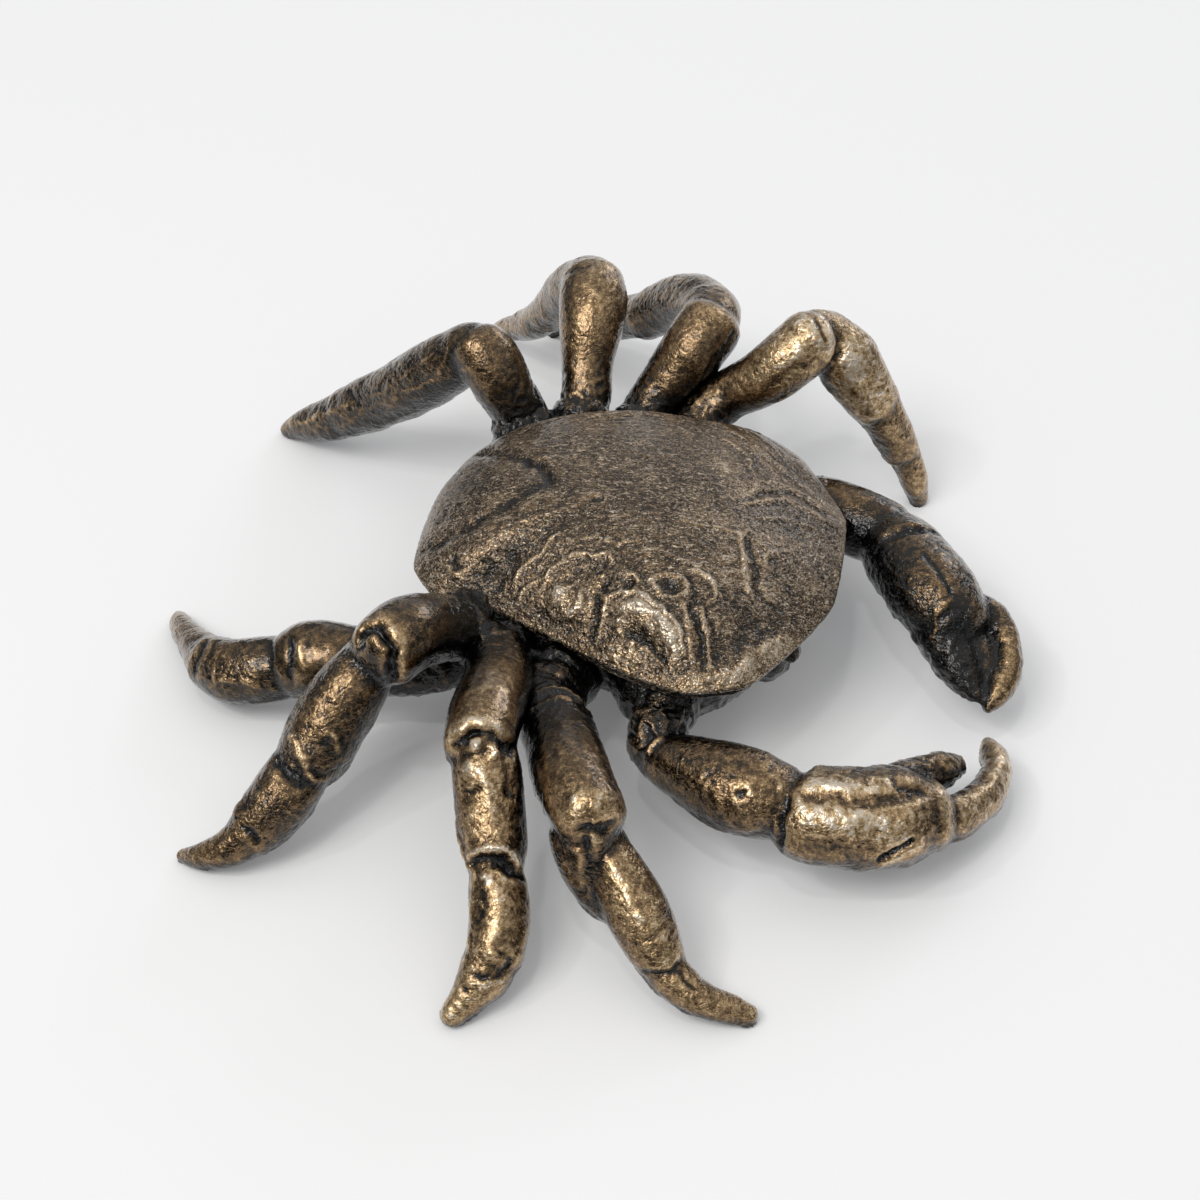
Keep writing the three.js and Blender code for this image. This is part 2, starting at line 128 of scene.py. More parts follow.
# Relief on the dome, each as (height, how much brighter it is painted, half-width, its points).
# The brightness is wear on the crests and patina in the grooves, and a painted highlight on the
# shining hill, the ear's face and the front lip.
RELIEF = [
    # the rear lobe and the grooves that part it from the rest
    (0.7, -0.05, 6.5, [(-9, 30), (-4.5, 25)]),
    (-0.75, -0.15, 1.4, [(9, 32), (6, 27.5), (3.5, 23.5), (1, 19), (-1, 16)]),
    (-0.5, -0.1, 1.8, [(3, 21), (0, 17), (-3, 14.5)]),
    (-0.8, -0.2, 1.4, [(-17, 33), (-17, 30), (-16, 27), (-14.5, 24), (-12, 21.5), (-10, 19.5),
                       (-7.5, 18), (-5.5, 16.5), (-2.5, 14.5)]),
    (0.15, 0.1, 0.35, [(-14, 16), (-12, 12.5), (-9.5, 9.5), (-7, 6.5)]),
    (0.15, 0.1, 0.35, [(-10.5, 17), (-8, 14.5), (-5.5, 11.5)]),
    (-0.2, 0.0, 0.6, [(-12, 15.5), (-10, 12), (-8, 9.5)]),
    # the smooth bulge beside the lobe, the hollow under it, and pitted crumbs at its corner
    (0.5, -0.05, 3.2, [(-20, 28), (-18, 24), (-16, 20.5)]),
    (-0.75, -0.2, 2, [(-23, 19), (-20.5, 16.5), (-17.5, 14.5)]),
    (-0.6, -0.3, 0.6, [(-20.5, 25), (-21.5, 24), (-21, 22.5)]),
    (0.2, 0.05, 0.4, [(-21.5, 26), (-23, 24), (-22.5, 22)]),
    (0.35, 0.15, 0.4, [(-23.5, 18.5), (-23, 17.5), (-21.5, 16.5)]),
    # wavy ridges and a loop over the right-hand legs
    (0.5, 0.25, 0.4, [(-22.5, 13.5), (-20.5, 13.5), (-19, 12), (-17.5, 10), (-15.5, 9.5), (-14, 8.5)]),
    (0.3, 0.15, 0.4, [(-24.5, 12), (-23, 11.5), (-22, 10), (-21.5, 8.5)]),
    (0.4, 0.25, 0.4, [(-21.5, 8), (-19, 6.5), (-17.5, 4.5), (-17, 1.5), (-16, -1.5), (-17.5, -2.5),
                      (-19.5, -1.5)]),
    (-0.5, -0.1, 1.4, [(-19.5, 3.5), (-19, 1), (-18.5, -0.5)]),
    (0.2, 0.1, 0.4, [(-15, 6), (-13.5, 2.5), (-14, -1.5), (-12, -5.5)]),
    (0.15, 0.1, 0.35, [(-15.5, -5), (-13.5, -8.5), (-13.5, -12), (-14, -16)]),
    # the smooth hill beside the swelling, painted brighter as a highlight, with a groove on each side
    (1.1, 0.4, 2.3, [(-23.5, 6), (-24.5, 3), (-24.5, 0)]),
    (-0.7, -0.15, 1.2, [(-26, 7.5), (-26.5, 4), (-27, 1)]),
    (-0.75, -0.3, 0.75, [(-20.5, -3), (-23.5, -2.5), (-26, -3), (-28.5, -3.5)]),
    # the ear-shaped swelling: its edge, its face painted brighter as a highlight, and the hollow in it,
    # darker partly as patina and partly as painted shade
    (0.5, 0.3, 0.4, [(-28.5, -4), (-25.5, -4), (-23.5, -3.5), (-22, -5), (-21.5, -8), (-23.5, -13.5),
                     (-26, -17.5), (-29, -19.5)]),
    (1.3, 0.55, 2, [(-24.5, -7), (-24.5, -10), (-26, -14), (-28, -17)]),
    (-0.8, -0.3, 1.0, [(-27.5, -9), (-28.5, -13), (-30, -16)]),
    (0.3, 0.2, 0.35, [(-26.5, -11.5), (-28, -13.5), (-29.5, -15)]),
    (0.55, 0.25, 0.4, [(-26, -6.5), (-26.5, -7.5)]),
    (0.55, 0.25, 0.4, [(-27.5, -7), (-28, -8)]),
    (0.75, 0.2, 1.8, [(-30, -7.5), (-31, -10.5)]),
    (0.3, 0.2, 0.35, [(-29, -9), (-28.5, -11), (-29.5, -13.5), (-31, -16)]),
    # ringed pits
    (-1.05, -0.3, 1.3, [(-19, -12), (-19.5, -13.5)]),
    (0.35, 0.2, 0.4, [(-19.5, -10), (-18.5, -10.5), (-17.5, -12), (-17.5, -14.5), (-18.5, -16),
                      (-20, -15.5), (-21, -14), (-21.5, -12), (-19.5, -10)]),
    (-0.7, -0.3, 0.6, [(-20.5, -6), (-20.5, -7)]),
    (0.3, 0.2, 0.35, [(-19.5, -5), (-19, -6.5), (-20, -8), (-21, -7.5)]),
    (-0.5, -0.3, 0.5, [(-18.5, -2), (-18.5, -3)]),
    # the hooked ridge and the grooves that run down to the front right margin
    (-0.5, -0.3, 0.5, [(-17, -15), (-18.5, -17.5), (-21.5, -17.5), (-23.5, -19.5), (-26.5, -21),
                       (-29, -22.5)]),
    (0.55, 0.25, 0.4, [(-15.5, -16), (-15.5, -18.5), (-16.5, -20.5), (-18.5, -21), (-20, -20),
                       (-19.5, -18.5)]),
    (0.4, 0.2, 0.4, [(-21, -16), (-24, -18), (-26.5, -19.5), (-29, -20.5)]),
    (0.4, 0.2, 0.4, [(-20.5, -19), (-23.5, -20.5), (-26.5, -22.5), (-28.5, -23.5)]),
    (-0.45, -0.25, 0.6, [(-19, -18.5), (-21, -20), (-24, -22)]),
    # the smooth lip along the front right margin, painted brighter as a highlight
    (0.7, 0.3, 1.6, [(-32, -22), (-30, -26), (-26, -29), (-21, -31.5), (-17, -33)]),
    (-0.4, -0.25, 2.4, [(-27, -22.5), (-24, -25.5), (-18, -28)]),
    # small marks: a slit with a lip, and a hair line
    (-0.6, -0.4, 0.35, [(-6, 5.5), (-5.5, 4)]),
    (0.25, 0.15, 0.35, [(-6, 7), (-4.5, 6), (-4.5, 3.5), (-6.5, 3.5)]),
    (0.15, 0.2, 0.35, [(-5.5, -10.5), (-5.5, -14), (-4, -17.5), (-3.5, -21)]),
    # the stepped crease near the front, and the ridges in front of it
    (-0.5, -0.25, 0.75, [(-4, -21.5), (-7, -23.5), (-9.5, -25), (-12, -26), (-13.5, -28), (-13, -31)]),
    (0.3, 0.15, 0.7, [(-3.5, -20), (-7, -22), (-10.5, -23.5), (-14, -25.5)]),
    (0.5, 0.4, 0.4, [(-8.5, -22.5), (-8, -23.5)]),
    (0.2, 0.3, 0.35, [(-7, -25.5), (-4.5, -25.5), (-3.5, -26.5), (-4, -28)]),
    (0.3, 0.05, 0.75, [(3, -19), (7, -21), (10.5, -24), (11, -27), (12, -30), (13, -33)]),
    (0.25, 0.05, 0.6, [(9.5, -18), (13, -21), (15.5, -26), (16, -29.5)]),
    (-0.45, -0.1, 0.7, [(5, -18.5), (10, -21.5), (13, -25), (14, -30)]),
    (0.2, 0.05, 0.5, [(2, -22.5), (5, -24.5), (7.5, -28), (8.5, -31)]),
    (0.25, 0.05, 0.6, [(20, -10.5), (17.5, -15), (12, -18.5), (6, -19.5)]),
    (0.25, 0.05, 0.6, [(22.5, -15.5), (20, -19.5), (18.5, -24), (17, -30)]),
    (0.25, 0.1, 0.4, [(19.5, 19), (21, 16.5), (20, 12), (21, 9)]),
    (0.2, 0.1, 0.35, [(5.5, 19.5), (7, 18), (8, 15.5)]),
]

# ---------------------------------------------------------------- the limbs' measures

# Each limb is a chain of segments, and each segment a row of stations (x, y, z, half-width).
LIMBS = {
    "claw_right": {
        "ischium": [(-22, -10, 15, 6), (-29, -15.5, 15.5, 5), (-35, -16.5, 14.5, 4.75),
                    (-38, -16.5, 13.5, 4)],
        "merus": [(-36.5, -16, 13, 3.5), (-39, -20.5, 13.5, 5), (-40.5, -26, 14, 6.25),
                  (-41.5, -31, 14, 7.25), (-42, -36, 14, 7.25), (-41.5, -39.5, 13.5, 6.5)],
        "palm": [(-41.5, -40.5, 13, 5.25), (-42, -43, 13, 7.75), (-41.5, -47.5, 13, 8.5),
                 (-39.5, -53, 12.5, 8.75), (-36.5, -58.5, 12, 8.5), (-34.5, -62, 11.5, 6.5)],
        "finger": [(-34.5, -61.5, 11, 3.75), (-33.5, -64.5, 10.5, 3.75), (-28.5, -68, 9, 3.5),
                   (-22, -70, 8, 3), (-16, -70, 7, 2.5), (-12.5, -68.5, 6.5, 2.25), (-9.5, -67, 6, 1)],
        "thumb": [(-30.5, -56.5, 12, 4.25), (-25.5, -59.5, 11, 3.25), (-22, -62.5, 10, 3),
                  (-20, -64, 9.5, 1.75)],
    },
    "leg_right_1": {
        "merus": [(-23, 3, 15, 5), (-36.5, 2, 17, 5.5), (-47, -4.5, 20, 6), (-58, -11, 23, 6.25),
                  (-63.5, -15.5, 23.5, 5.75)],
        "carpus": [(-63, -14, 19.5, 5.5), (-64.5, -16, 16, 5.75), (-66.5, -19, 12.5, 5),
                   (-69, -23, 10.5, 3.5), (-71, -26.5, 8.5, 2.25)],
        "propodus": [(-63.5, -17.5, 17.5, 4.25), (-66.5, -21, 15.5, 4.5), (-69.5, -25, 12.5, 5),
                     (-72.5, -29, 9, 4.5), (-74, -31, 7.5, 3.75)],
        "dactyl": [(-73.5, -29.5, 7.5, 3.25), (-75.5, -34.5, 5, 3.25), (-76, -38.5, 3.5, 2.75),
                   (-75, -43, 2, 2.25), (-74.5, -45.5, 1.25, 1.75)],
    },
    "leg_right_2": {
        "merus": [(-22, 12, 15, 5), (-27.5, 13, 17.5, 5.25), (-39.5, 9.5, 21.5, 5.75), (-51, 7, 25, 6),
                  (-57, 5.5, 25.5, 5.75)],
        "carpus": [(-54.5, 6, 23.5, 5), (-59, 3.5, 22.5, 5.5), (-63, 1.5, 19, 5.5),
                   (-67.5, -1, 15.5, 5.25), (-69.5, -2, 14.5, 4.75)],
        "propodus": [(-69, -2, 14.5, 3.75), (-72.5, -3.5, 12.5, 4.5), (-77, -5.5, 10, 4.75),
                     (-81.5, -6.5, 7.5, 4.5)],
        "dactyl": [(-80.5, -6, 7.5, 4.25), (-84.5, -5.5, 5, 4), (-88, -4, 3, 2.75),
                   (-90.5, -2.5, 1.5, 2)],
    },
    "leg_right_3": {
        "merus": [(-19, 20, 18, 5), (-27.5, 20, 20.5, 5.25), (-34.5, 23.5, 25, 6.25),
                  (-41.5, 25.5, 28.5, 6.5), (-45.5, 26.5, 28.5, 6.25)],
        "carpus": [(-42.5, 29.5, 26, 4), (-47, 30.5, 23.5, 5.5), (-52.5, 33, 19, 6.25),
                   (-57, 34.5, 15, 6.25), (-59, 35, 14, 5.75)],
        "propodus": [(-59.5, 35.5, 13.5, 5), (-64.5, 37, 10.5, 5.5), (-68.5, 39, 7.5, 5),
                     (-71, 40.5, 6, 4.25)],
        "dactyl": [(-70.5, 40, 6.5, 4), (-73.5, 43.5, 4, 3.25), (-75, 48, 2, 2.25),
                   (-75, 51.5, 0.75, 1.25)],
    },
    "leg_right_4": {
        "merus": [(-20, 22, 10.5, 4.5), (-28.5, 27, 11, 5.75), (-31, 32.5, 11.5, 6.25),
                  (-33, 38, 12, 6)],
        "carpus": [(-32.5, 37, 12, 5.5), (-34.5, 42, 12, 6.75), (-35.5, 47, 11, 7),
                   (-36, 48.5, 10.5, 6.5)],
        "propodus": [(-36, 48, 10, 5.25), (-37.5, 53.5, 8.5, 6), (-38.5, 59.5, 7, 6),
                     (-37.5, 65, 6.5, 5)],
        "dactyl": [(-37.5, 64.5, 6.5, 4.5), (-33.5, 69.5, 5, 3.5), (-29.5, 74.5, 3.5, 2.5),
                   (-25, 78.5, 1.5, 1.75), (-23, 80, 0.5, 1)],
    },
    "claw_left": {
        "merus": [(25, -17, 15, 5.5), (28, -27, 17, 5.75), (26, -33.5, 17, 6.5),
                  (25, -39.5, 16.5, 6.25)],
        "palm": [(26, -38, 16, 5.25), (22, -42.5, 16.5, 7.25), (15.5, -48, 17, 7.75),
                 (10.5, -53, 16.5, 7.75), (7.5, -57, 15.5, 6.25)],
        "finger": [(12, -57.5, 15, 3.75), (12, -62, 14, 3.25), (8, -65.5, 12.5, 2.75),
                   (3, -67, 11, 2.75), (-2.5, -66, 9.5, 2.25), (-5, -65.5, 9, 1.25)],
        "thumb": [(6.5, -54, 14, 5), (2.5, -57.5, 12.5, 4.25), (-1.5, -61, 11, 3), (-4, -63.5, 10, 1.5)],
        # fills the closed pincers
        "web": [(8, -57.5, 12.5, 3.5), (5, -61.5, 11.5, 3.5), (1, -64, 10, 2.5), (-2, -65, 9, 1.5)],
    },
    "leg_left_1": {
        "merus": [(27, 4, 15, 5), (44, -3.5, 25, 5), (45.5, -8.5, 28.5, 5.5), (47.5, -13.5, 33, 6),
                  (51, -17, 36.5, 6)],
        "carpus": [(56, -17.5, 34.5, 5.25), (54.5, -22.5, 31.5, 6.25), (54, -27, 26, 5.75),
                   (54, -29.5, 23, 5)],
        "propodus": [(54.5, -27.5, 25, 5), (54.5, -32, 18.5, 4.25), (55, -35, 12.5, 3.75)],
        "dactyl": [(55.5, -34.5, 13.5, 3.5), (55.5, -37, 9, 3), (55.5, -38.5, 4.5, 2.75),
                   (56, -39.5, 0.75, 2)],
    },
    "leg_left_2": {
        "merus": [(26, 12.5, 15, 5), (40.5, 9.5, 23.5, 5), (44.5, 7, 27.5, 5.75), (48, 4.5, 31.5, 6.25),
                  (52, 3, 34, 6.25)],
        "carpus": [(57.5, 4, 32.5, 5.5), (65.5, 10.5, 29, 5.75), (69.5, 17.5, 23.5, 5.5),
                   (70.5, 22, 19.5, 5)],
        "propodus": [(70.5, 20, 21, 4.75), (73.5, 26, 16.5, 4.5), (77, 33, 11.5, 4),
                     (78.5, 36.5, 9.5, 3.5)],
        "dactyl": [(78.5, 35, 10, 3.25), (82, 40.5, 6.5, 3), (83.5, 45, 3.5, 2), (84.5, 47.5, 0.5, 1.5)],
    },
    "leg_left_3": {
        "merus": [(24, 20.5, 15, 5), (36, 22, 24, 4.5), (41, 23.5, 28, 5), (45.5, 24.5, 32, 6),
                  (51, 26, 35, 6.5), (55, 27.5, 35.5, 6.25)],
        "carpus": [(57.5, 29, 34, 5.75), (61, 33.5, 29.5, 5.5), (64, 38.5, 23, 4.5),
                   (65.5, 41, 19, 4.25)],
        "propodus": [(66, 40.5, 20, 4), (68.5, 44.5, 14.5, 3.75), (71.5, 49, 10, 3.25)],
        "dactyl": [(71, 47.5, 11, 3), (74.5, 53, 6.5, 2.75), (76.5, 57.5, 3, 2), (77.5, 61, 0.5, 1.5)],
    },
    "leg_left_4": {
        "merus": [(20, 27, 14.5, 5), (27.5, 31.5, 22, 5), (28, 35, 27.5, 5.5), (29.5, 38.5, 32, 6),
                  (30.5, 41, 34, 5.75)],
        "carpus": [(31, 42.5, 32.5, 5.5), (31, 48, 28, 6.25), (31.5, 56.5, 20.5, 6.25),
                   (32, 62, 16, 5.75)],
        "propodus": [(32, 60, 17.5, 5.75), (32.5, 66, 13, 5.75), (32.5, 70.5, 10, 5.25)],
        "dactyl": [(32.5, 69.5, 10.5, 5), (33, 75.5, 6.5, 4.5), (33.5, 82, 3, 3), (33.5, 85.5, 1, 1.5)],
    },
}

# How each limb looks: how rough its skin is, how far from its root it stays smooth, how far it
# has been rubbed against the others, how much darker its root is, and between which two
# lengths the dark of the root fades out.
LOOKS = {
    "claw_right": (1.0, 0, 0.03, 0.35, (16, 24)),
    "leg_right_1": (0.75, 28, 0.0, 0.35, (14, 44)),
    "leg_right_2": (0.8, 28, 0.05, 0.35, (10, 26)),
    "leg_right_3": (0.75, 16, -0.14, 0.35, (10, 26)),
    "leg_right_4": (0.75, 28, -0.13, 0.35, (10, 26)),
    "claw_left": (0.9, 8, -0.17, 0.2, (4, 10)),
    "leg_left_1": (0.9, 10, 0.1, 0.2, (10, 26)),
    "leg_left_2": (0.9, 10, -0.02, 0.2, (10, 26)),
    "leg_left_3": (0.9, 10, 0.04, 0.2, (10, 26)),
    "leg_left_4": (0.9, 10, -0.1, 0.2, (10, 26)),
}

# Marks on the limbs, each as (height, how much brighter it is painted, half-width, its points).
# The brightness is mostly wax and wear; along the far claw's arm it is a painted sheen.
MARKS = {
    "claw_right": [
        # the darker arm, brighter finger, and the ringed pit on the arm
        (0.0, -0.3, 6.0, [(-40, -22, 17), (-43, -28, 19)]),
        (0.0, 0.15, 5.0, [(-32, -66, 12), (-22, -71, 9)]),
        # the lip down the arm's first joint, and the brown metal beside it
        (0.8, 0.3, 0.7, [(-41, -17, 16), (-39, -18, 17.5), (-37, -18.5, 17.5), (-34, -19.5, 17.5)]),
        (-0.8, -0.4, 0.8, [(-40, -19.5, 16), (-38, -20.5, 17), (-35, -21, 16.5)]),
        (0.0, 0.3, 3.0, [(-38.5, -15, 16.5), (-35, -15, 18)]),
        (-0.6, -0.15, 0.8, [(-47, -34.5, 19), (-46.5, -34.5, 19)]),
        (0.35, 0.2, 0.5, [(-48.5, -34.5, 18), (-47, -36, 18.5), (-45.5, -34.5, 19.5), (-47, -33, 19.5),
                          (-48.5, -34.5, 18)]),
        (0.0, -0.2, 1.6, [(-45, -32, 20.5), (-43.5, -35, 21)]),
        # the joint between arm and palm
        (0.5, 0.25, 0.6, [(-43, -40, 20), (-45, -41, 19), (-47, -41, 17), (-48.5, -40.5, 15)]),
        (-1.8, -0.8, 0.8, [(-45.5, -42, 18.5), (-47.5, -41.5, 17), (-48.5, -41.5, 16),
                           (-49.5, -42, 14.5), (-49.5, -42, 12)]),
        # the two lobes of the palm and the grooves between them
        (-1.3, 0.15, 1.3, [(-44.5, -45, 20), (-44, -48, 20.5), (-43.5, -51, 20), (-42, -55, 19.5),
                           (-40, -58, 19.5), (-36.5, -61, 18.5)]),
        (0.6, 0.25, 2.2, [(-41.5, -46, 21), (-41, -51, 20.5), (-39, -55, 20)]),
        (0.5, 0.35, 2.4, [(-47.5, -46, 17.5), (-47, -52, 18), (-44, -58, 17.5)]),
        (0.0, 0.3, 4.0, [(-41, -46, 20), (-46, -50, 18), (-44, -60, 16)]),
        (-0.8, -0.2, 0.6, [(-36.5, -56, 20), (-38, -57.5, 19.5), (-36.5, -60.5, 18.5)]),
        (-0.7, -0.1, 1.5, [(-47.5, -48.5, 15.5), (-48, -52, 14.5)]),
        # the slot low on the palm, and the finger's joint
        (-2.0, -0.9, 0.5, [(-47, -57.5, 12.5), (-46, -59.5, 13.5), (-44, -62, 15)]),
        (0.2, 0.2, 0.5, [(-47, -57.5, 11), (-46, -60, 12), (-43, -63, 13.5), (-43, -63, 15.5)]),
        (-0.15, -0.2, 0.6, [(-36.5, -62.5, 17.5), (-38, -64.5, 15.5), (-40.5, -65, 14),
                            (-41.5, -64.5, 11)]),
        # the dark thumb and the dark inside of the finger
        (0.0, -0.5, 4.5, [(-29.5, -57.5, 14), (-24, -60.5, 12), (-21, -63, 11)]),
        (0.3, 0.1, 0.5, [(-34.5, -64, 17), (-24, -67, 12), (-17, -68.5, 9.5)]),
        (-0.3, -0.9, 1.7, [(-26, -64.5, 11), (-19, -66.5, 9), (-13.5, -65.5, 8), (-11, -65, 7)]),
    ],
    "leg_right_1": [
        # two lipped rings at the root, and the black root itself
        (1.2, 0.6, 0.8, [(-41.5, 2, 22), (-39.5, 0, 23.5), (-38.5, -2.5, 23), (-39.5, -5, 21.5)]),
        (1.2, 0.8, 0.7, [(-45.5, 1.5, 22), (-43, -1, 24), (-42, -3.5, 24), (-41, -6.5, 21)]),
        (-0.4, -0.3, 0.6, [(-43.5, 2, 22.5), (-41.5, 0, 24), (-40.5, -3, 23.5), (-40, -5.5, 22)]),
        (0.0, -0.42, 5.0, [(-30, 2, 18), (-38, 1, 21), (-46, -4, 22)]),
        (0.0, -0.25, 3.0, [(-48.5, 0, 20), (-59.5, -7, 23)]),
        # the knee
        (0.5, 0.15, 2.0, [(-64, -13.5, 29), (-64, -17, 28)]),
        (-1.5, -0.5, 0.8, [(-67.5, -15.5, 25.5), (-67, -17.5, 25), (-65, -19.5, 24.5)]),
        (0.8, 0.1, 0.9, [(-68.5, -15.5, 21), (-69, -16, 19)]),
        (0.7, 0.1, 0.8, [(-67, -17.5, 23), (-68, -18.5, 21)]),
        (-1.3, -0.6, 0.5, [(-67.5, -16.5, 23.5), (-68.5, -17, 20)]),
        (-0.3, -0.1, 0.35, [(-63, -18.5, 27.5), (-62, -19, 27), (-62, -20, 26)]),
        # the shin's crest and creases
        (0.0, 0.12, 5.0, [(-68, -19, 21), (-75, -30, 12)]),
        (0.35, 0.12, 1.0, [(-67.5, -17, 24), (-68.5, -20.5, 19.5), (-71.5, -24, 17),
                           (-73.5, -27.5, 15)]),
        (-0.35, -0.2, 0.35, [(-75, -28.5, 13), (-74, -30, 13.5), (-72.5, -30.5, 13.5)]),
        (-0.6, -0.35, 0.45, [(-77, -29, 8), (-77, -31.5, 9), (-76.5, -33, 9), (-74, -34, 9)]),
        (-0.9, -0.4, 0.6, [(-76, -34, 8.5), (-76, -34.5, 8.5)]),
        (-0.5, -0.25, 0.4, [(-76.5, -35, 8), (-76.5, -37, 7)]),
    ],
    "leg_right_2": [
        # the smooth arm and the paler shin
        (0.0, -0.03, 6.0, [(-40, 9, 27), (-53, 5, 31)]),
        (0.0, 0.15, 5.0, [(-62, 3, 25), (-69, -2, 19)]),
        # the arched notch at the knee, with two knobs in it
        (0.3, 0.1, 1.2, [(-58, 7, 30.5), (-57, 5.5, 31), (-56.5, 3.5, 30.5), (-57, 1.5, 29)]),
        (-2.0, -0.65, 1.0, [(-60.5, 7.5, 28), (-59.5, 6.5, 29.5), (-58.5, 5.5, 30.5), (-58, 3.5, 30),
                            (-58, 2, 29), (-57.5, 0.5, 27.5), (-57, 0, 26)]),
        (1.5, 0.3, 0.7, [(-59.5, 4.5, 29), (-60, 4.5, 28)]),
        (1.4, 0.3, 0.7, [(-58.5, 2, 28.5), (-59.5, 2, 27.5)]),
        # crest, groove and bumps down the shin
        (0.4, 0.15, 1.0, [(-62, 4.5, 26), (-64, 1.5, 24.5), (-66.5, -0.5, 22.5)]),
        (-0.7, -0.25, 0.8, [(-59.5, 0.5, 26), (-61, -0.5, 24.5), (-63, -2, 23)]),
        (0.5, 0.2, 0.7, [(-61, -2.5, 23), (-61.5, -2.5, 22.5)]),
        (0.5, 0.2, 0.7, [(-63.5, -3.5, 22), (-64, -3.5, 21.5)]),
        (0.5, 0.2, 0.7, [(-65, -4.5, 20.5), (-65.5, -4.5, 20)]),
        (-0.4, -0.3, 0.6, [(-65, 2.5, 24), (-65.5, 4, 23.5)]),
        # the thin lip over the next joint
        (1.0, 0.4, 0.6, [(-72, 1, 17), (-71.5, 0, 18.5), (-71, -2, 19), (-70, -4, 18.5),
                         (-70, -5.5, 17.5), (-70, -6.5, 15.5)]),
        (-1.8, -0.6, 0.9, [(-73, 0, 17), (-72.5, -2, 18), (-71.5, -4.5, 17.5), (-71.5, -6, 16),
                           (-71.5, -7, 14.5)]),
        (0.7, 0.3, 0.8, [(-74.5, -2, 16.5), (-75, -3, 16)]),
        (0.5, 0.2, 0.7, [(-73, -6.5, 15), (-73.5, -6.5, 14.5)]),
        # the edge down its outer side, and the pitted tip
        (0.5, 0.1, 0.5, [(-67.5, 5.5, 18.5), (-71.5, 2.5, 15.5), (-73.5, 0, 15), (-77, -1, 13.5),
                         (-80.5, -2.5, 11), (-85, -3, 8.5)]),
        (-0.4, -0.25, 0.9, [(-75, -2.5, 15.5), (-79.5, -4, 12.5)]),
        (-1.1, -0.5, 0.6, [(-83, -8, 11), (-83, -10, 9.5), (-83.5, -9.5, 8.5)]),
        (-0.8, -0.45, 0.7, [(-87, -5.5, 8), (-86, -7.5, 8), (-84.5, -9, 8)]),
        (0.5, 0.3, 0.45, [(-87.5, -6.5, 7), (-85.5, -8.5, 7.5), (-85, -9.5, 7)]),
        (-0.8, -0.5, 0.5, [(-88.5, -4, 6), (-88.5, -4.5, 6)]),
    ],
    "leg_right_3": [
        # the shin, then the hood over the knee and the dark crescent under it
        (0.0, 0.2, 5.0, [(-52, 29, 28), (-58, 34, 21)]),
        (0.3, 0.25, 1.6, [(-44.5, 30.5, 33), (-43, 28.5, 34), (-45, 25, 34.5), (-46.5, 22.5, 33),
                          (-48.5, 22, 31), (-49, 22, 27)]),
        (-2.6, -0.8, 1.0, [(-48, 29.5, 31.5), (-46.5, 29, 33), (-46, 28, 34), (-46.5, 26.5, 34.5),
                           (-47.5, 25, 34), (-48.5, 23.5, 32.5), (-49.5, 23.5, 30), (-50, 24, 26.5)]),
        (-0.2, -0.45, 1.4, [(-48.5, 27, 32.5), (-50, 26, 31), (-51, 25.5, 29), (-51, 25.5, 27)]),
        (0.5, 0.25, 0.6, [(-52, 29.5, 27), (-51, 28, 29), (-52, 27, 27), (-52.5, 27, 24.5)]),
        # pit and ring above the next joint, and the hollow under it
        (-0.8, -0.45, 0.9, [(-59.5, 31.5, 19.5), (-60, 31, 19)]),
        (0.4, 0.2, 0.5, [(-58, 32, 21), (-58, 30, 20), (-59.5, 29, 18)]),
        (1.0, 0.25, 0.8, [(-60, 39, 18.5), (-60.5, 37, 19), (-62.5, 34, 18), (-63.5, 33, 16),
                          (-62.5, 31, 13.5)]),
        (-1.4, -0.5, 1.1, [(-63, 39, 16.5), (-63.5, 38, 16.5), (-65, 35.5, 16), (-65, 33, 15)]),
        (0.5, 0.25, 0.5, [(-65.5, 37.5, 15.5), (-66, 36, 15)]),
        # the shin's heel and the last joint
        (1.2, 0.05, 1.6, [(-69, 42.5, 11), (-71, 42.5, 9.5)]),
        (-0.8, -0.4, 0.8, [(-71.5, 42.5, 8.5), (-73, 39.5, 9.5), (-73.5, 38, 8.5)]),
    ],
    "leg_right_4": [
        (0.4, 0.2, 0.45, [(-36.5, 64, 11.5), (-40, 64, 11.5), (-41.5, 64, 10), (-43, 64, 8)]),
        (-0.5, -0.3, 0.7, [(-37, 65.5, 11), (-40.5, 65.5, 10.5), (-42.5, 65.5, 8)]),
        (0.25, 0.1, 0.4, [(-38.5, 61.5, 12.5), (-42.5, 61, 10.5), (-44, 60.5, 8.5)]),
        (-1.0, -0.45, 0.8, [(-38, 48, 17.5), (-40, 47.5, 16.5), (-42, 47, 15), (-43, 47, 12.5)]),
        (0.6, 0.25, 0.7, [(-38, 46, 17.5), (-40.5, 45.5, 16.5), (-41, 44.5, 15.5)]),
        (0.3, 0.1, 0.5, [(-44, 60.5, 9.5), (-43.5, 56, 10.5), (-43, 51.5, 10.5), (-42, 49, 9)]),
    ],
    "claw_left": [
        # the brown arm with a painted sheen along its top, black where it bends, the ring at the wrist
        # and the groove beside it
        (0.0, 0.1, 3.5, [(27, -25, 23), (24.5, -31, 23)]),
        (0.0, -0.9, 2.5, [(19.5, -33.5, 20.5), (18.5, -37.5, 19.5), (14.5, -40.5, 18)]),
        (0.7, -0.35, 0.9, [(17.5, -40, 21), (18.5, -41, 22.5), (19.5, -42.5, 23), (21.5, -45.5, 23)]),
        (-1.3, -0.45, 0.8, [(17, -41.5, 21.5), (18.5, -44, 23.5), (20.5, -46.5, 23.5), (22, -49, 22)]),
        # the black flank
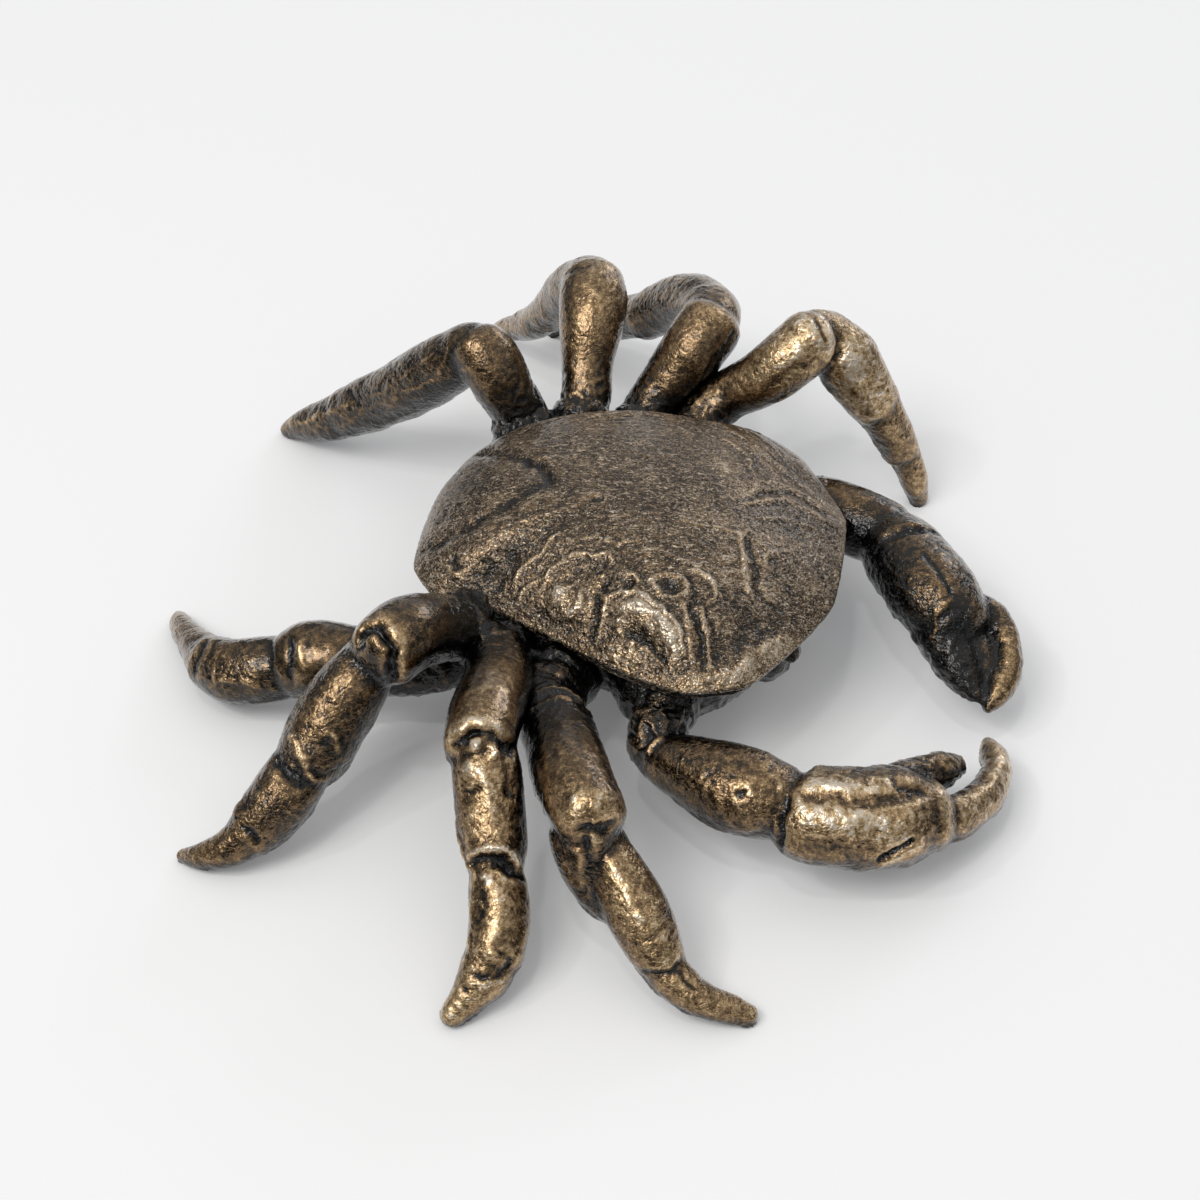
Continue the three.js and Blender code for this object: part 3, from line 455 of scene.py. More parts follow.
        (0.0, -0.8, 3.5, [(13.5, -40.5, 19.5), (6.5, -46, 18), (2.5, -51, 14), (-1.5, -56, 12)]),
        (0.0, -0.8, 3.5, [(13.5, -42.5, 13.5), (4.5, -49, 12), (-2, -58, 8)]),
        # two grooves along the palm
        (-0.7, -0.25, 0.6, [(13.5, -49, 23.5), (9.5, -52.5, 23.5), (7, -56, 21.5)]),
        (-0.5, -0.15, 0.6, [(17, -51, 22.5), (13.5, -56, 20.5)]),
        # the jagged rim of the hollow between the fingers, and the black hollow
        (0.7, 0.4, 0.5, [(7, -56, 21.5), (5.5, -55, 21), (4, -53.5, 20), (2.5, -54, 18),
                         (1, -53.5, 15)]),
        (-0.9, -0.9, 2.8, [(5, -57.5, 19), (1, -59, 16), (-2.5, -60.5, 13.5), (-5.5, -63.5, 11)]),
        # the outer finger, rubbed golden to its tip
        (0.0, 0.3, 2.2, [(7, -62, 18), (6, -65, 15), (2, -67, 13.5), (-2.5, -67, 11.5)]),
    ],
    "leg_left_1": [
        (0.0, 0.3, 6.0, [(30, -10, 26), (45, -17, 38)]),
        # the paler shin, and the bright bump on the knee between two grooves
        (0.0, 0.65, 5.0, [(50, -23, 34), (51, -28, 26)]),
        (-0.6, -0.3, 0.6, [(50.5, -17.5, 41.5), (48, -19.5, 40), (47.5, -21, 39)]),
        (0.8, 0.3, 0.8, [(52.5, -17.5, 41), (52, -19.5, 40), (49.5, -20.5, 39.5), (47.5, -22, 38)]),
        (-1.0, -0.4, 0.8, [(54.5, -19.5, 39), (53, -21, 38), (50.5, -22.5, 37.5), (48.5, -22.5, 35)]),
        (-0.5, -0.25, 1.0, [(40.5, -12, 31.5), (43, -16.5, 35.5), (45, -19.5, 36)]),
    ],
    "leg_left_2": [
        (-0.6, -0.3, 0.7, [(49, -2.5, 35.5), (44.5, -0.5, 32), (41, 1, 27)]),
        (0.4, 0.2, 0.5, [(48, -3.5, 34), (44.5, -2, 31), (42, -0.5, 28)]),
    ],
    "leg_left_3": [
        (0.7, 0.25, 0.8, [(28.5, 23.5, 25), (29.5, 20, 25.5), (33, 18, 25.5)]),
    ],
    "leg_left_4": [
        # hair-thin raised lines
        (0.25, 0.25, 0.35, [(28, 45.5, 35.5), (26, 46, 33), (25, 47.5, 30.5)]),
        (0.25, 0.25, 0.35, [(27.5, 49, 33), (26.5, 52, 30), (26, 55.5, 26.5)]),
        (0.25, 0.25, 0.35, [(25, 55.5, 24), (25, 51, 26.5), (25, 45.5, 30.5), (24, 40, 34)]),
        (0.25, 0.25, 0.35, [(26.5, 58, 24), (26, 59, 22.5), (27, 61.5, 20.5)]),
        (0.35, 0.2, 0.5, [(32, 84.5, 3.5), (30, 79, 7.5), (29.5, 75, 10.5), (28, 68.5, 15.5)]),
        (-0.7, -0.3, 0.6, [(30.5, 69, 17.5), (29, 67, 17.5)]),
    ],
}

# How a segment is formed: its height as a share of its width, and how far the keel along its
# top stands out.
PLAIN = (0.94, 0.0)
FLAT = (0.17, 0.0)
FORMS = {
    "carpus": (0.94, 0.02),
    "palm": (0.86, 0.0),
    "propodus": (0.94, 0.05),
    "dactyl": (0.94, 0.04),
    "finger": (0.94, 0.06),
    "thumb": (0.94, 0.06),
}
SEGMENT_STEP = 0.5
SEGMENT_SIDES = 44
# How wide a keel is, as an angle about the segment.
KEEL_SPREAD = 0.4
# A segment's rounded ends: their depth as a share of its half-width, and the turns at which
# they have rings.
END_DEPTH = 0.68
END_TURNS = np.radians([22, 44, 64, 80])
# Segments whose ends are nearer than this are joined by a filling, a little narrower than they.
FILLED_GAP = 7
FILLING_WIDTH = 0.93

# How far hands have rubbed the bronze, from 0 to 1: on even metal that faces down, how much
# more where it faces up, which is partly wear and partly painted light from above and painted
# shade below, and how much it varies in patches of this size.
WORN_BASE = 0.35
UPWARD_WEAR_AND_LIGHT = 0.22
WORN_PATCHES = 0.07
PATCH_SIZE = 7.0
# How far a point stands out of the skin near it, and out of the form round it, when most of
# what that adds to the rubbing is reached.
FINE_CREST = 0.05
BROAD_CREST = 0.25

# ---------------------------------------------------------------- the finishes and the stage

# The crab's bronze in its two finishes, as cast_bronze takes them.
BRONZES = {
    "cast_bronze_satin_wax": {
        "grain": 0.4, "grit": 1.5, "clouds": 0.6, "gloss": (0.22, 0.36), "lines": 0.6,
        "haze": 0.1, "dents": 1.2},
    "cast_bronze_rubbed": {
        "grain": 0.45, "grit": 0.7, "clouds": 0.7, "gloss": (0.16, 0.34), "lines": 0.15,
        "haze": 0.0, "dents": 0.9},
}
# How far the metal is rubbed back where it takes each colour of the finish, wax to the silver
# of polish. That silver is partly a painted highlight.
PATINA_STOPS = (0.1, 0.36, 0.66, 0.92, 1.0)

# From here on lengths are in metres. This is how near other metal has to be for the metal to
# be painted darker, as shade.
SHADE_REACH = 0.009
TABLE_HALF = 3.0
# The room's light from the floor's level and below (0) to overhead (1), and its strength.
SKY = [(0.0, "#505254"), (0.35, "#8c8e90"), (0.75, "#f4f4f4")]
SKY_STRENGTH = 0.75
# The lamps, each as (name, place, size, watts, colour). They face the middle of the table.
LAMPS = [
    ("window_light", (-1.12, 0.44, 1.6), 0.8, 11.4, "#fffdfb"),
    ("rim_light", (1.3, -0.4, 0.66), 0.5, 2.4, "#eff4ff"),
    ("pale_wall", (1.8, 0.3, 0.45), 1.2, 1.7, "#f2f6ff"),
    ("bare_bulb", (-0.75, 0.85, 1.5), 0.12, 2.2, "#ffffff"),
    ("high_bulb", (-0.5, 0.1, 1.8), 0.12, 2.0, "#ffffff"),
]


# ---------------------------------------------------------------- properties


def linear(code):
    """An sRGB hex colour as linear red, green and blue."""
    channels = [int(code[i:i + 2], 16) / 255 for i in (1, 3, 5)]
    return [c / 12.92 if c <= 0.04045 else ((c + 0.055) / 1.055) ** 2.4 for c in channels]


class CrabCasting(bpy.types.PropertyGroup):
    """How finely the casting is meshed, and how rough its skin is"""

    carapace_cells: bpy.props.IntProperty(
        name="Carapace cells", description="Mesh cells across the carapace",
        default=250, min=40, max=300)
    body_voxel: bpy.props.FloatProperty(
        name="Body voxel", description="Mesh spacing on the underside",
        default=0.0005, unit="LENGTH", precision=5)
    limb_voxel: bpy.props.FloatProperty(
        name="Limb voxel", description="Mesh spacing on the limbs",
        default=0.00036, unit="LENGTH", precision=5)
    crumple: bpy.props.FloatProperty(
        name="Crumple", description="How strongly the cast skin is crumpled",
        default=1.0, min=0.0, max=2.0, subtype="FACTOR")


class CrabFinish(bpy.types.PropertyGroup):
    """The colours of the patina, from the wax in the hollows to the silver of polish on the crests,
    which is partly a painted highlight
    """

    wax: bpy.props.FloatVectorProperty(
        name="Wax", description="Black wax left in the hollows",
        subtype="COLOR", size=3, default=linear("#0a0a0b"))
    patina: bpy.props.FloatVectorProperty(
        name="Patina", description="Brown patina on sheltered metal",
        subtype="COLOR", size=3, default=linear("#2c261e"))
    bronze: bpy.props.FloatVectorProperty(
        name="Bronze", description="Half rubbed bronze",
        subtype="COLOR", size=3, default=linear("#7d6343"))
    bare: bpy.props.FloatVectorProperty(
        name="Bare metal", description="Bronze rubbed back to bare metal",
        subtype="COLOR", size=3, default=linear("#cbad80"))
    # the last colour is partly polish on the most handled crests and partly a painted highlight
    polish_and_highlight: bpy.props.FloatVectorProperty(
        name="Polished metal", description="The most handled crests, polished almost silver",
        subtype="COLOR", size=3, default=linear("#ded0bc"))


class CrabStage(bpy.types.PropertyGroup):
    """The table and the camera"""

    floor: bpy.props.FloatVectorProperty(
        name="Table", description="Colour of the table top",
        subtype="COLOR", size=3, default=linear("#f1f1f1"))
    azimuth: bpy.props.FloatProperty(
        name="Azimuth", description="The camera's turn round the crab",
        default=math.radians(-70), subtype="ANGLE")
    elevation: bpy.props.FloatProperty(
        name="Elevation", description="The camera's height above the horizon",
        default=math.radians(42), subtype="ANGLE")
    distance: bpy.props.FloatProperty(
        name="Distance", description="From the camera to the point that it looks at",
        default=0.4074, unit="LENGTH")
    target: bpy.props.FloatVectorProperty(
        name="Target", description="The point on the table that the camera looks at",
        default=(0.01092, 0.00215, 0.0), subtype="XYZ", unit="LENGTH")
    lens: bpy.props.FloatProperty(
        name="Lens", description="Focal length in millimetres", default=66.0, min=1.0)


# ---------------------------------------------------------------- number helpers


def unit(vectors):
    """Vectors made one long."""
    return vectors / np.maximum(np.linalg.norm(vectors, axis=-1, keepdims=True), 1e-9)


def ease(values, low, high):
    """0 up to low and 1 from high on, with a soft step between."""
    share = np.clip((values - low) / (high - low), 0, 1)
    return share * share * (3 - 2 * share)


def bell(values, spread):
    """1 at 0, falling off smoothly to both sides."""
    return np.exp(-(values / spread) ** 2)


def cell_arrows(cells, seed):
    """A repeatable arrow for each whole-number cell, its parts between -1 and 1.

    The cell's numbers are stirred by multiplying with large odd numbers and folding the high
    bits back in.
    """
    x, y, z = (cells[:, axis].astype(np.uint64) for axis in range(3))
    key = x * np.uint64(0x9E3779B97F4A7C15)
    key ^= y * np.uint64(0xC2B2AE3D27D4EB4F)
    key ^= z * np.uint64(0x165667B19E3779F9)
    key += np.uint64(seed) * np.uint64(0xD6E8FEB86659FD93)
    key ^= key >> np.uint64(31)
    key *= np.uint64(0xBF58476D1CE4E5B9)
    key ^= key >> np.uint64(29)
    parts = [(key >> np.uint64(shift)) & np.uint64(1023) for shift in (0, 20, 40)]
    return np.stack(parts, axis=1).astype(float) / 511.5 - 1


def ripple(points, size, seed):
    """Smooth random hills, of about -1 to 1, that are about size across."""
    scaled = points / size
    base = np.floor(scaled).astype(np.int64)
    part = scaled - base
    blend = part ** 3 * (part * (part * 6 - 15) + 10)
    total = np.zeros(len(points))
    for corner in itertools.product((0, 1), repeat=3):
        step = np.array(corner)
        weight = np.prod(np.where(step, blend, 1 - blend), axis=1)
        arrows = cell_arrows(base + step, seed)
        total += weight * np.sum(arrows * (part - step), axis=1)
    return 1.7 * total


def creased(points, size, seed, top=0.4):
    """Random folds about size across, up to top high, with sharp crests."""
    return top - np.abs(ripple(points, size, seed))


def wander(points, size, reach, seed):
    """Points moved about at random, by up to about reach, in patches of about size.

    X, Y and Z take the seed and the two after it.
    """
    moves = [ripple(points, size, seed + axis) for axis in range(3)]
    return points + reach * np.stack(moves, axis=1)


def flowing(stations, step, swing=1.0):
    """Stations resampled every step along a smooth line through them, and their distances.

    Less swing keeps the line straighter between stations and its corners sharper.
    """
    table = np.array(stations, float)
    gaps = np.linalg.norm(np.diff(table[:, :3], axis=0), axis=1)
    at = np.concatenate([[0], np.cumsum(gaps)])
    slopes = swing * np.gradient(table, at, axis=0)
    places = np.linspace(0, at[-1], int(math.ceil(at[-1] / step)) + 1)
    first = np.clip(np.searchsorted(at, places, side="right") - 1, 0, len(at) - 2)
    width = (at[first + 1] - at[first])[:, None]
    t = (places - at[first])[:, None] / width
    line = (2 * t ** 3 - 3 * t ** 2 + 1) * table[first]
    line += (t ** 3 - 2 * t ** 2 + t) * width * slopes[first]
    line += (3 * t ** 2 - 2 * t ** 3) * table[first + 1]
    line += (t ** 3 - t ** 2) * width * slopes[first + 1]
    return line, places


# ---------------------------------------------------------------- shells


def tube_faces(rings, sides):
    """The quads between rings of equal length, for points in ring order."""
    ring, side = np.meshgrid(np.arange(rings - 1), np.arange(sides), indexing="ij")
    ring = ring.ravel() * sides
    side = side.ravel()
    after = (side + 1) % sides
    return np.stack([ring + side, ring + after, ring + sides + after, ring + sides + side],
                    axis=1)


def fan_faces(first, sides, pole, facing_start):
    """The triangles from a ring to its pole."""
    side = np.arange(sides)
    after = (side + 1) % sides
    centre = np.full(sides, pole)
    if facing_start:
        return np.stack([centre, first + after, first + side], axis=1)
    return np.stack([centre, first + side, first + after], axis=1)


def closed_skin(rings, start_pole, end_pole):
    """A closed shell over rings, as points and a list of faces."""
    count, sides = rings.shape[:2]
    points = np.concatenate([rings.reshape(-1, 3), [start_pole], [end_pole]])
    faces = tube_faces(count, sides).tolist()
    faces += fan_faces(0, sides, count * sides, True).tolist()
    faces += fan_faces((count - 1) * sides, sides, count * sides + 1, False).tolist()
    return points, faces


def rounded_end(centre, ring, outward, depth):
    """Rings that close a tube with a rounded end, and the end's pole."""
    rings = [centre + (ring - centre) * math.cos(turn) + outward * depth * math.sin(turn)
             for turn in END_TURNS]
    return rings, centre + outward * depth


def segment(stations, form=PLAIN):
    """A limb's segment, or a plate, as a closed shell with rounded ends."""
    squash, keel = form
    line, at = flowing(stations, SEGMENT_STEP)
    centre = line[:, :3]
    tangent = unit(np.gradient(centre, at, axis=0))
    side = unit(np.cross(UP, tangent))
    over = np.cross(tangent, side)
    turn = np.linspace(0, 2 * math.pi, SEGMENT_SIDES, endpoint=False)
    width = line[:, 3:] * (1 + keel * bell(turn - math.pi / 2, KEEL_SPREAD))
    across = (width * np.cos(turn))[..., None] * side[:, None]
    across = across + (width * squash * np.sin(turn))[..., None] * over[:, None]
    rings = centre[:, None] + across
    start_rings, start_pole = rounded_end(centre[0], rings[0], -tangent[0], END_DEPTH * line[0, 3])
    end_rings, end_pole = rounded_end(centre[-1], rings[-1], tangent[-1], END_DEPTH * line[-1, 3])
    stack = np.array(start_rings[::-1] + list(rings) + end_rings)
    return closed_skin(stack, start_pole, end_pole)


def joined(shells):
    """Several shells as one list of points and one of faces."""
    points = []
    faces = []
    start = 0
    for shell_points, shell_faces in shells:
        points.append(shell_points)
        faces += [[start + corner for corner in face] for face in shell_faces]
        start += len(shell_points)
    return np.concatenate(points), faces


# ---------------------------------------------------------------- surfaces


def placed(name, data):
    """A new object in the scene for a mesh, a lamp or a camera."""
    made = bpy.data.objects.new(name, data)
    bpy.context.scene.collection.objects.link(made)
    return made


class Surface:
    """A mesh in millimetres as arrays, with what is worked out from its edges."""

    def __init__(self, points, faces):
        self.mesh = bpy.data.meshes.new("surface")
        self.mesh.from_pydata(points.tolist(), [], faces)
        self.mesh.update()
        self.read()

    def read(self):
        """Reads the points and the edges of the mesh."""
        count = len(self.mesh.vertices)
        self.points = np.zeros(count * 3)
        self.mesh.vertices.foreach_get("co", self.points)
        self.points = self.points.reshape(-1, 3)
        edges = np.zeros(len(self.mesh.edges) * 2, np.int64)
        self.mesh.edges.foreach_get("vertices", edges)
        self.edges = edges.reshape(-1, 2)
        ends = np.bincount(self.edges.ravel(), minlength=count)
        self.degree = np.maximum(ends, 1)

    def fuse(self, voxel):
        """Melts overlapping shells into one skin of even quads."""
        holder = placed("fusing", self.mesh)
        remesh = holder.modifiers.new("fuse", "REMESH")
        remesh.mode = "VOXEL"
        remesh.voxel_size = voxel
        seen = holder.evaluated_get(bpy.context.evaluated_depsgraph_get())
        fused = bpy.data.meshes.new_from_object(seen)
        bpy.data.objects.remove(holder)
        bpy.data.meshes.remove(self.mesh)
        self.mesh = fused
        self.read()

    def spread(self, values, rounds, pull=1.0):
        """Values for each point, evened out along the edges so many times."""
        first, second = self.edges.T
        count = len(self.points)
        table = values.reshape(count, -1).copy()
        for _ in range(rounds):
            for column in range(table.shape[1]):
                value = table[:, column]
                total = np.bincount(first, value[second], count)
                total += np.bincount(second, value[first], count)
                table[:, column] = value + pull * (total / self.degree - value)
        return table.reshape(values.shape)

    def put(self, points):
        """Moves the points."""
        self.points = points
        self.mesh.vertices.foreach_set("co", points.astype(np.float32).ravel())
        self.mesh.update()

    def normals(self):
        """The direction out of the surface at each point."""
        found = np.zeros(len(self.points) * 3, np.float32)
        self.mesh.vertex_normals.foreach_get("vector", found)
        return found.reshape(-1, 3).astype(float)

    def relax(self, rounds):
        """Takes the voxels' steps out of a fused skin."""
        self.put(self.spread(self.points, rounds, 0.5))

    def push(self, heights):
        """Moves the points along their normals."""
        self.put(self.points + self.normals() * heights[:, None])

    def raised(self, rounds):
        """How far each point stands out of the surface round it."""
        away = self.points - self.spread(self.points, rounds)
        return np.sum(away * self.normals(), axis=1)

    def note(self, name, values):
        """Keeps a number for each point on the mesh, for its material."""
        layer = self.mesh.attributes.new(name, "FLOAT", "POINT")
        layer.data.foreach_set("value", values.astype(np.float32))

    def finish(self, name, material, *nodes):
        """Turns the mesh into a piece of the crab that stands for its CAD nodes."""
        metres = (self.points + CARAPACE_PLACE) * MM
        self.mesh.vertices.foreach_set("co", metres.astype(np.float32).ravel())
        self.mesh.polygons.foreach_set("use_smooth", [True] * len(self.mesh.polygons))
        self.mesh.materials.clear()
        self.mesh.materials.append(material)
        self.mesh.update()
        self.mesh.name = name
        piece = placed(name, self.mesh)
        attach(piece, "root")
        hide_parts(*nodes)


def rubbing(surface, near, wide, bite, slack):
    """How far each point has been rubbed back to metal, 0 in hollows to 1 on crests, with painted light
    and shade added.

    near and wide are over how many edges round each point its hollows and crests are judged,
    bite is how strongly they count, and slack is what else adds to it there, painted highlights
    and painted shade among it.
    """
    fine = np.tanh(surface.raised(near) / FINE_CREST)
    broad = surface.raised(wide)
    broad = np.tanh((broad - np.median(broad)) / BROAD_CREST)
    # which way the form faces, apart from its folds
    facing = surface.spread(surface.normals(), 12)[:, 2]
    patches = ripple(surface.points, PATCH_SIZE, 71)
    wear_and_painted_light = WORN_BASE + bite * (fine + 0.9 * broad)
    # metal facing up is lighter and metal facing down darker: partly wear, partly painted light and
    # shade from above
    wear_and_painted_light += UPWARD_WEAR_AND_LIGHT * ease(facing, -0.4, 0.8)
    wear_and_painted_light += WORN_PATCHES * patches
    return np.clip(wear_and_painted_light + slack, 0, 1)


# ---------------------------------------------------------------- marks


def path_distance(places, path):
    """How far each place is from a path, and how far along it from 0 to 1."""
    points = np.array(path, float)
    lengths = np.linalg.norm(np.diff(points, axis=0), axis=1)
    before = np.concatenate([[0], np.cumsum(lengths)])
    best = np.full(len(places), np.inf)
    along = np.zeros(len(places))
    for i, (start, stop) in enumerate(zip(points[:-1], points[1:])):
        reach = stop - start
        share = np.clip((places - start) @ reach / (reach @ reach), 0, 1)
        away = np.linalg.norm(places - start - share[:, None] * reach, axis=1)
        nearer = away < best
        best[nearer] = away[nearer]
        along[nearer] = (before[i] + share[nearer] * lengths[i]) / before[-1]
    return best, along


def marked(places, marks):
    """How far the marks raise each place, and how much brighter they leave it.

    A mark narrower than NARROW_MARK varies in strength and fades at its ends.
    """
    heights = np.zeros(len(places))
    tones = np.zeros(len(places))
    vigour = 0.85 + 0.5 * ripple(places, 2.5, 31)
    for height, tone, half_width, path in marks:
        away, along = path_distance(places, path)
        profile = bell(away, half_width)
        if half_width < NARROW_MARK:
            profile *= vigour * ease(along, -0.25, 0.15) * (1 - ease(along, 0.85, 1.25))
        heights += height * profile
        tones += tone * profile
    return heights, tones


# ---------------------------------------------------------------- carapace


def outline_reach(turn):
    """The carapace's half-width at each turn about its middle."""
    table = np.zeros((len(OUTLINE) + 6, 4))
    table[:, :2] = OUTLINE[-3:] + OUTLINE + OUTLINE[:3]
    line, at = flowing(table, OUTLINE_STEP, OUTLINE_SWING)
    sides = np.linalg.norm(np.diff(table, axis=0), axis=1)
    one_lap = line[(at >= sides[:3].sum()) & (at < sides[:-2].sum())]
    angles = np.arctan2(one_lap[:, 1], one_lap[:, 0])
    return np.interp(turn, angles, np.hypot(one_lap[:, 0], one_lap[:, 1]), period=2 * math.pi)


def dome_marks(x, y):
    """The height of the relief on the dome, and its tone, at each place."""
    flat = np.stack([x, y, np.zeros(len(x))], axis=1)
    loose = wander(wander(flat, 5.0, 0.7, 11), 1.5, 0.35, 21)
    return marked(loose * (1, 1, 0), [(height, tone, half_width, [(*point, 0) for point in path])
                                      for height, tone, half_width, path in RELIEF])


def margin_ripples(x, y, share):
    """The height of the fine ridges that run along the far margin of the shell."""
    level = np.zeros(len(x))
    around = np.arctan2(y, x) * MARGIN_RADIUS
    bent = np.stack([np.hypot(x, y) / RIDGE_GAP, around / RIDGE_LENGTH, level], axis=1)
    bent[:, 0] += 0.8 * ripple(np.stack([x, y, level], axis=1), 9.0, 41)
    ridges = 1 - 2 * np.abs(ripple(bent, 1.0, 43))
    where = ease(x, 6, 24) * ease(share, 0.4, 0.75) * ease(y, -26, -12)
    return RIDGE_HEIGHT * ridges * where


def dome_height(x, y, share):
    """The carapace's upper surface at each place."""
    edged = np.maximum(ease(-x, 4, 22), ease(-y, 12, 28) * (1 - ease(x, 18, 30)))
    shoulder = CROWN_SHOULDER + (EDGE_SHOULDER - CROWN_SHOULDER) * edged
    dome = RIM_Z + CROWN * (1 - np.clip(share, 0, 1) ** CROWN_FLATNESS) ** shoulder
    # the relief runs out over the last sixteenth of the way to the rim
    inside = np.clip((1 - share) * 16, 0, 1)
    return dome + inside * (dome_marks(x, y)[0] + margin_ripples(x, y, share))


def wall_extra(turn):
    """How much deeper the rim's wall is at each turn."""
    away = (turn - WALL_TURN + math.pi) % (2 * math.pi) - math.pi
    return WALL_EXTRA * bell(away, WALL_SPREAD)


def round_net(cells):
    """A square net's points drawn round: the turn and the share of the outline of each."""
    steps = np.linspace(-1, 1, cells + 1)
    a, b = (side.ravel() for side in np.meshgrid(steps, steps, indexing="ij"))
    wide = np.abs(a) > np.abs(b)
    largest = np.where(wide, a, b)
    other = np.where(wide, b, a) / np.where(largest == 0, 1, largest)
    turn = np.where(wide, other * math.pi / 4, math.pi / 2 - other * math.pi / 4)
    turn = turn + np.where(largest < 0, math.pi, 0)
    share = np.abs(largest)
    # the cells lie a little closer together towards the rim
    return turn, share + 0.12 * share * (1 - share)


def carapace_surface(cells):
    """The carapace: a square net drawn round over the dome, and rings down the rim."""
    turn, share = round_net(cells)
    reach = outline_reach(turn)
    x = share * reach * np.cos(turn)
    y = share * reach * np.sin(turn)
    points = [np.stack([x, y, dome_height(x, y, share)], axis=1)]
    grid = np.arange((cells + 1) ** 2).reshape(cells + 1, cells + 1)
    net = [grid[:-1, :-1], grid[1:, :-1], grid[1:, 1:], grid[:-1, 1:]]
    faces = np.stack([corner.ravel() for corner in net], axis=1).tolist()

    edge = np.concatenate([grid[:-1, 0], grid[-1, :-1], grid[:0:-1, -1], grid[0, :0:-1]])
    sides = len(edge)
    x, y, turn = x[edge], y[edge], turn[edge]
    for width, drop in RIM:
        down = drop + min(drop, 1) * wall_extra(turn)
        points.append(np.stack([x * width, y * width, RIM_Z - down], axis=1))
    points.append(np.array([[0, 0, RIM_Z - RIM[-1][1]]]))

    first = grid.size
    rings = [edge] + [np.arange(sides) + first + i * sides for i in range(len(RIM))]
    after = [np.roll(ring, -1) for ring in rings]
    for i in range(len(RIM)):
        faces += np.stack([rings[i], rings[i + 1], after[i + 1], after[i]], axis=1).tolist()
    pole = first + len(RIM) * sides
    faces += [[pole, two, one] for one, two in zip(rings[-1].tolist(), after[-1].tolist())]
    return Surface(np.concatenate(points), faces)


def build_carapace(props, material):
    """The shell, with its relief, its cast skin and where it has been rubbed."""
    surface = carapace_surface(props.carapace_cells)
    places = surface.points
    near_side = (1 - ease(places[:, 0], -20, 2)) * (1 - ease(places[:, 1], 8, 22))
    loose = wander(wander(places, 5.0, 1.6, 51), 1.8, 0.5, 52)
    # thread-like wrinkles, low hills, folds and grain, all but the hills drawn out along Y
    skin = (0.04 + 0.06 * near_side) * bell(ripple(loose * (1, 0.6, 1), 1.7, 53), 0.15)
    skin += (0.05 + 0.05 * near_side) * ripple(loose, 4.0, 54)
    skin += 0.1 * creased(loose * (1, 0.5, 1), 1.3, 55, top=0.5)
    skin += 0.045 * ripple(places * (1, 0.4, 1), 0.7, 57)
    surface.push(props.crumple * skin)
    # the relief's tones, which hold its painted highlights, blotches towards the front, and painted
    # shade on the wall under the front of the rim
    tones = dome_marks(places[:, 0], places[:, 1])[1]
    blotches = 0.16 * ripple(places, 5.0, 58) * (1 - 0.7 * ease(places[:, 1], -16, 0))
    wall_shade = 0.3 * ease(-places[:, 2], -RIM_Z, 0.5 - RIM_Z) * ease(-places[:, 1], 5, 20)
    surface.note("wear_and_painted_light", rubbing(surface, 4, 40, 0.12, 0.85 * tones + blotches - wall_shade - 0.07))
    surface.note("dented", 0.7 + 0.25 * near_side)
    surface.finish("carapace", material, "body")


# ---------------------------------------------------------------- underbody


def coxa_shells(name):
    """The two short segments by which a limb leaves the body, along its first stretch."""
    first, second = (np.array(station[:3], float) for station in list(LIMBS[name].values())[0][:2])
    ahead = unit(second - first)
    return [segment([(*(first + ahead * start), start_width), (*(first + ahead * stop), stop_width)])
            for start, stop, start_width, stop_width in COXA]


def under_shell():
    """The flanks and the belly under the carapace."""
    turn = np.linspace(0, 2 * math.pi, UNDERSIDE_SIDES, endpoint=False)
    reach = outline_reach(turn)
    around = np.stack([np.cos(turn) * reach, np.sin(turn) * reach], axis=1)
    rings = [np.column_stack([around * share, np.full(UNDERSIDE_SIDES, z)])
             for share, z in UNDERSIDE]
    return closed_skin(np.array(rings), (0, 0, UNDERSIDE[0][1]), (0, 0, UNDERSIDE[-1][1]))


def face_shells():
    """The mouth plates and the two short eye stalks under the front margin."""
    return [segment([(sense * x + FACE_X, y, z, width) for x, y, z, width in stations])
            for sense in (-1, 1) for stations in (MOUTH_PLATE, EYE_STALK)]


def build_underbody(props, material):
    """Flanks, belly, coxae and face, fused into one skin, painted dark partly as black wax and partly as
    the shade under the shell.
    """
    shells = [under_shell(), segment(TAIL_PLATE, FLAT), *face_shells()]
    for name in LIMBS:
        shells += coxa_shells(name)
    surface = Surface(*joined(shells))
    surface.fuse(props.body_voxel / MM)
    surface.relax(3)
    places = surface.points
    loose = wander(places * (1, 1, 0.6), 4.0, 1.2, 61)
    # crumpled hills, sharp folds and grain
    skin = 0.5 * ripple(loose, 4.6, 62) + 0.8 * creased(loose, 2.6, 63)
    skin += 0.16 * ripple(places, 1.2, 64)
    # the grooves across the folded tail plate
    bands = np.cos(places[:, 1] * 2 * math.pi / TAIL_FOLD)
    on_tail = ease(-np.abs(places[:, 0]), -10, -8) * (1 - ease(places[:, 2], 7.2, 8.6))
    skin -= 0.35 * on_tail * ease(bands, 0.8, 1.0)
    surface.push(props.crumple * skin)
    # the whole underbody is painted much darker: partly black wax, partly painted shade under the shell
    surface.note("wear_and_painted_light", rubbing(surface, 4, 20, 0.2, -0.5))
    surface.note("dented", np.ones(len(places)))
    surface.finish("underbody", material, "body")


# ---------------------------------------------------------------- limbs


def limb_shells(segments):
    """A limb's segments as shells, and fillings that soften the joints between them."""
    shells = [segment(stations, FORMS.get(name, PLAIN)) for name, stations in segments.items()]
    chain = list(segments.values())
    for before, after in zip(chain[:-1], chain[1:]):
        if math.dist(before[-1][:3], after[0][:3]) < FILLED_GAP:
            middle = [(a + b) / 2 for a, b in zip(before[-1], after[0])]
            shells.append(segment([(x, y, z, FILLING_WIDTH * width)
                                   for x, y, z, width in (before[-2], middle, after[1])]))
    return shells


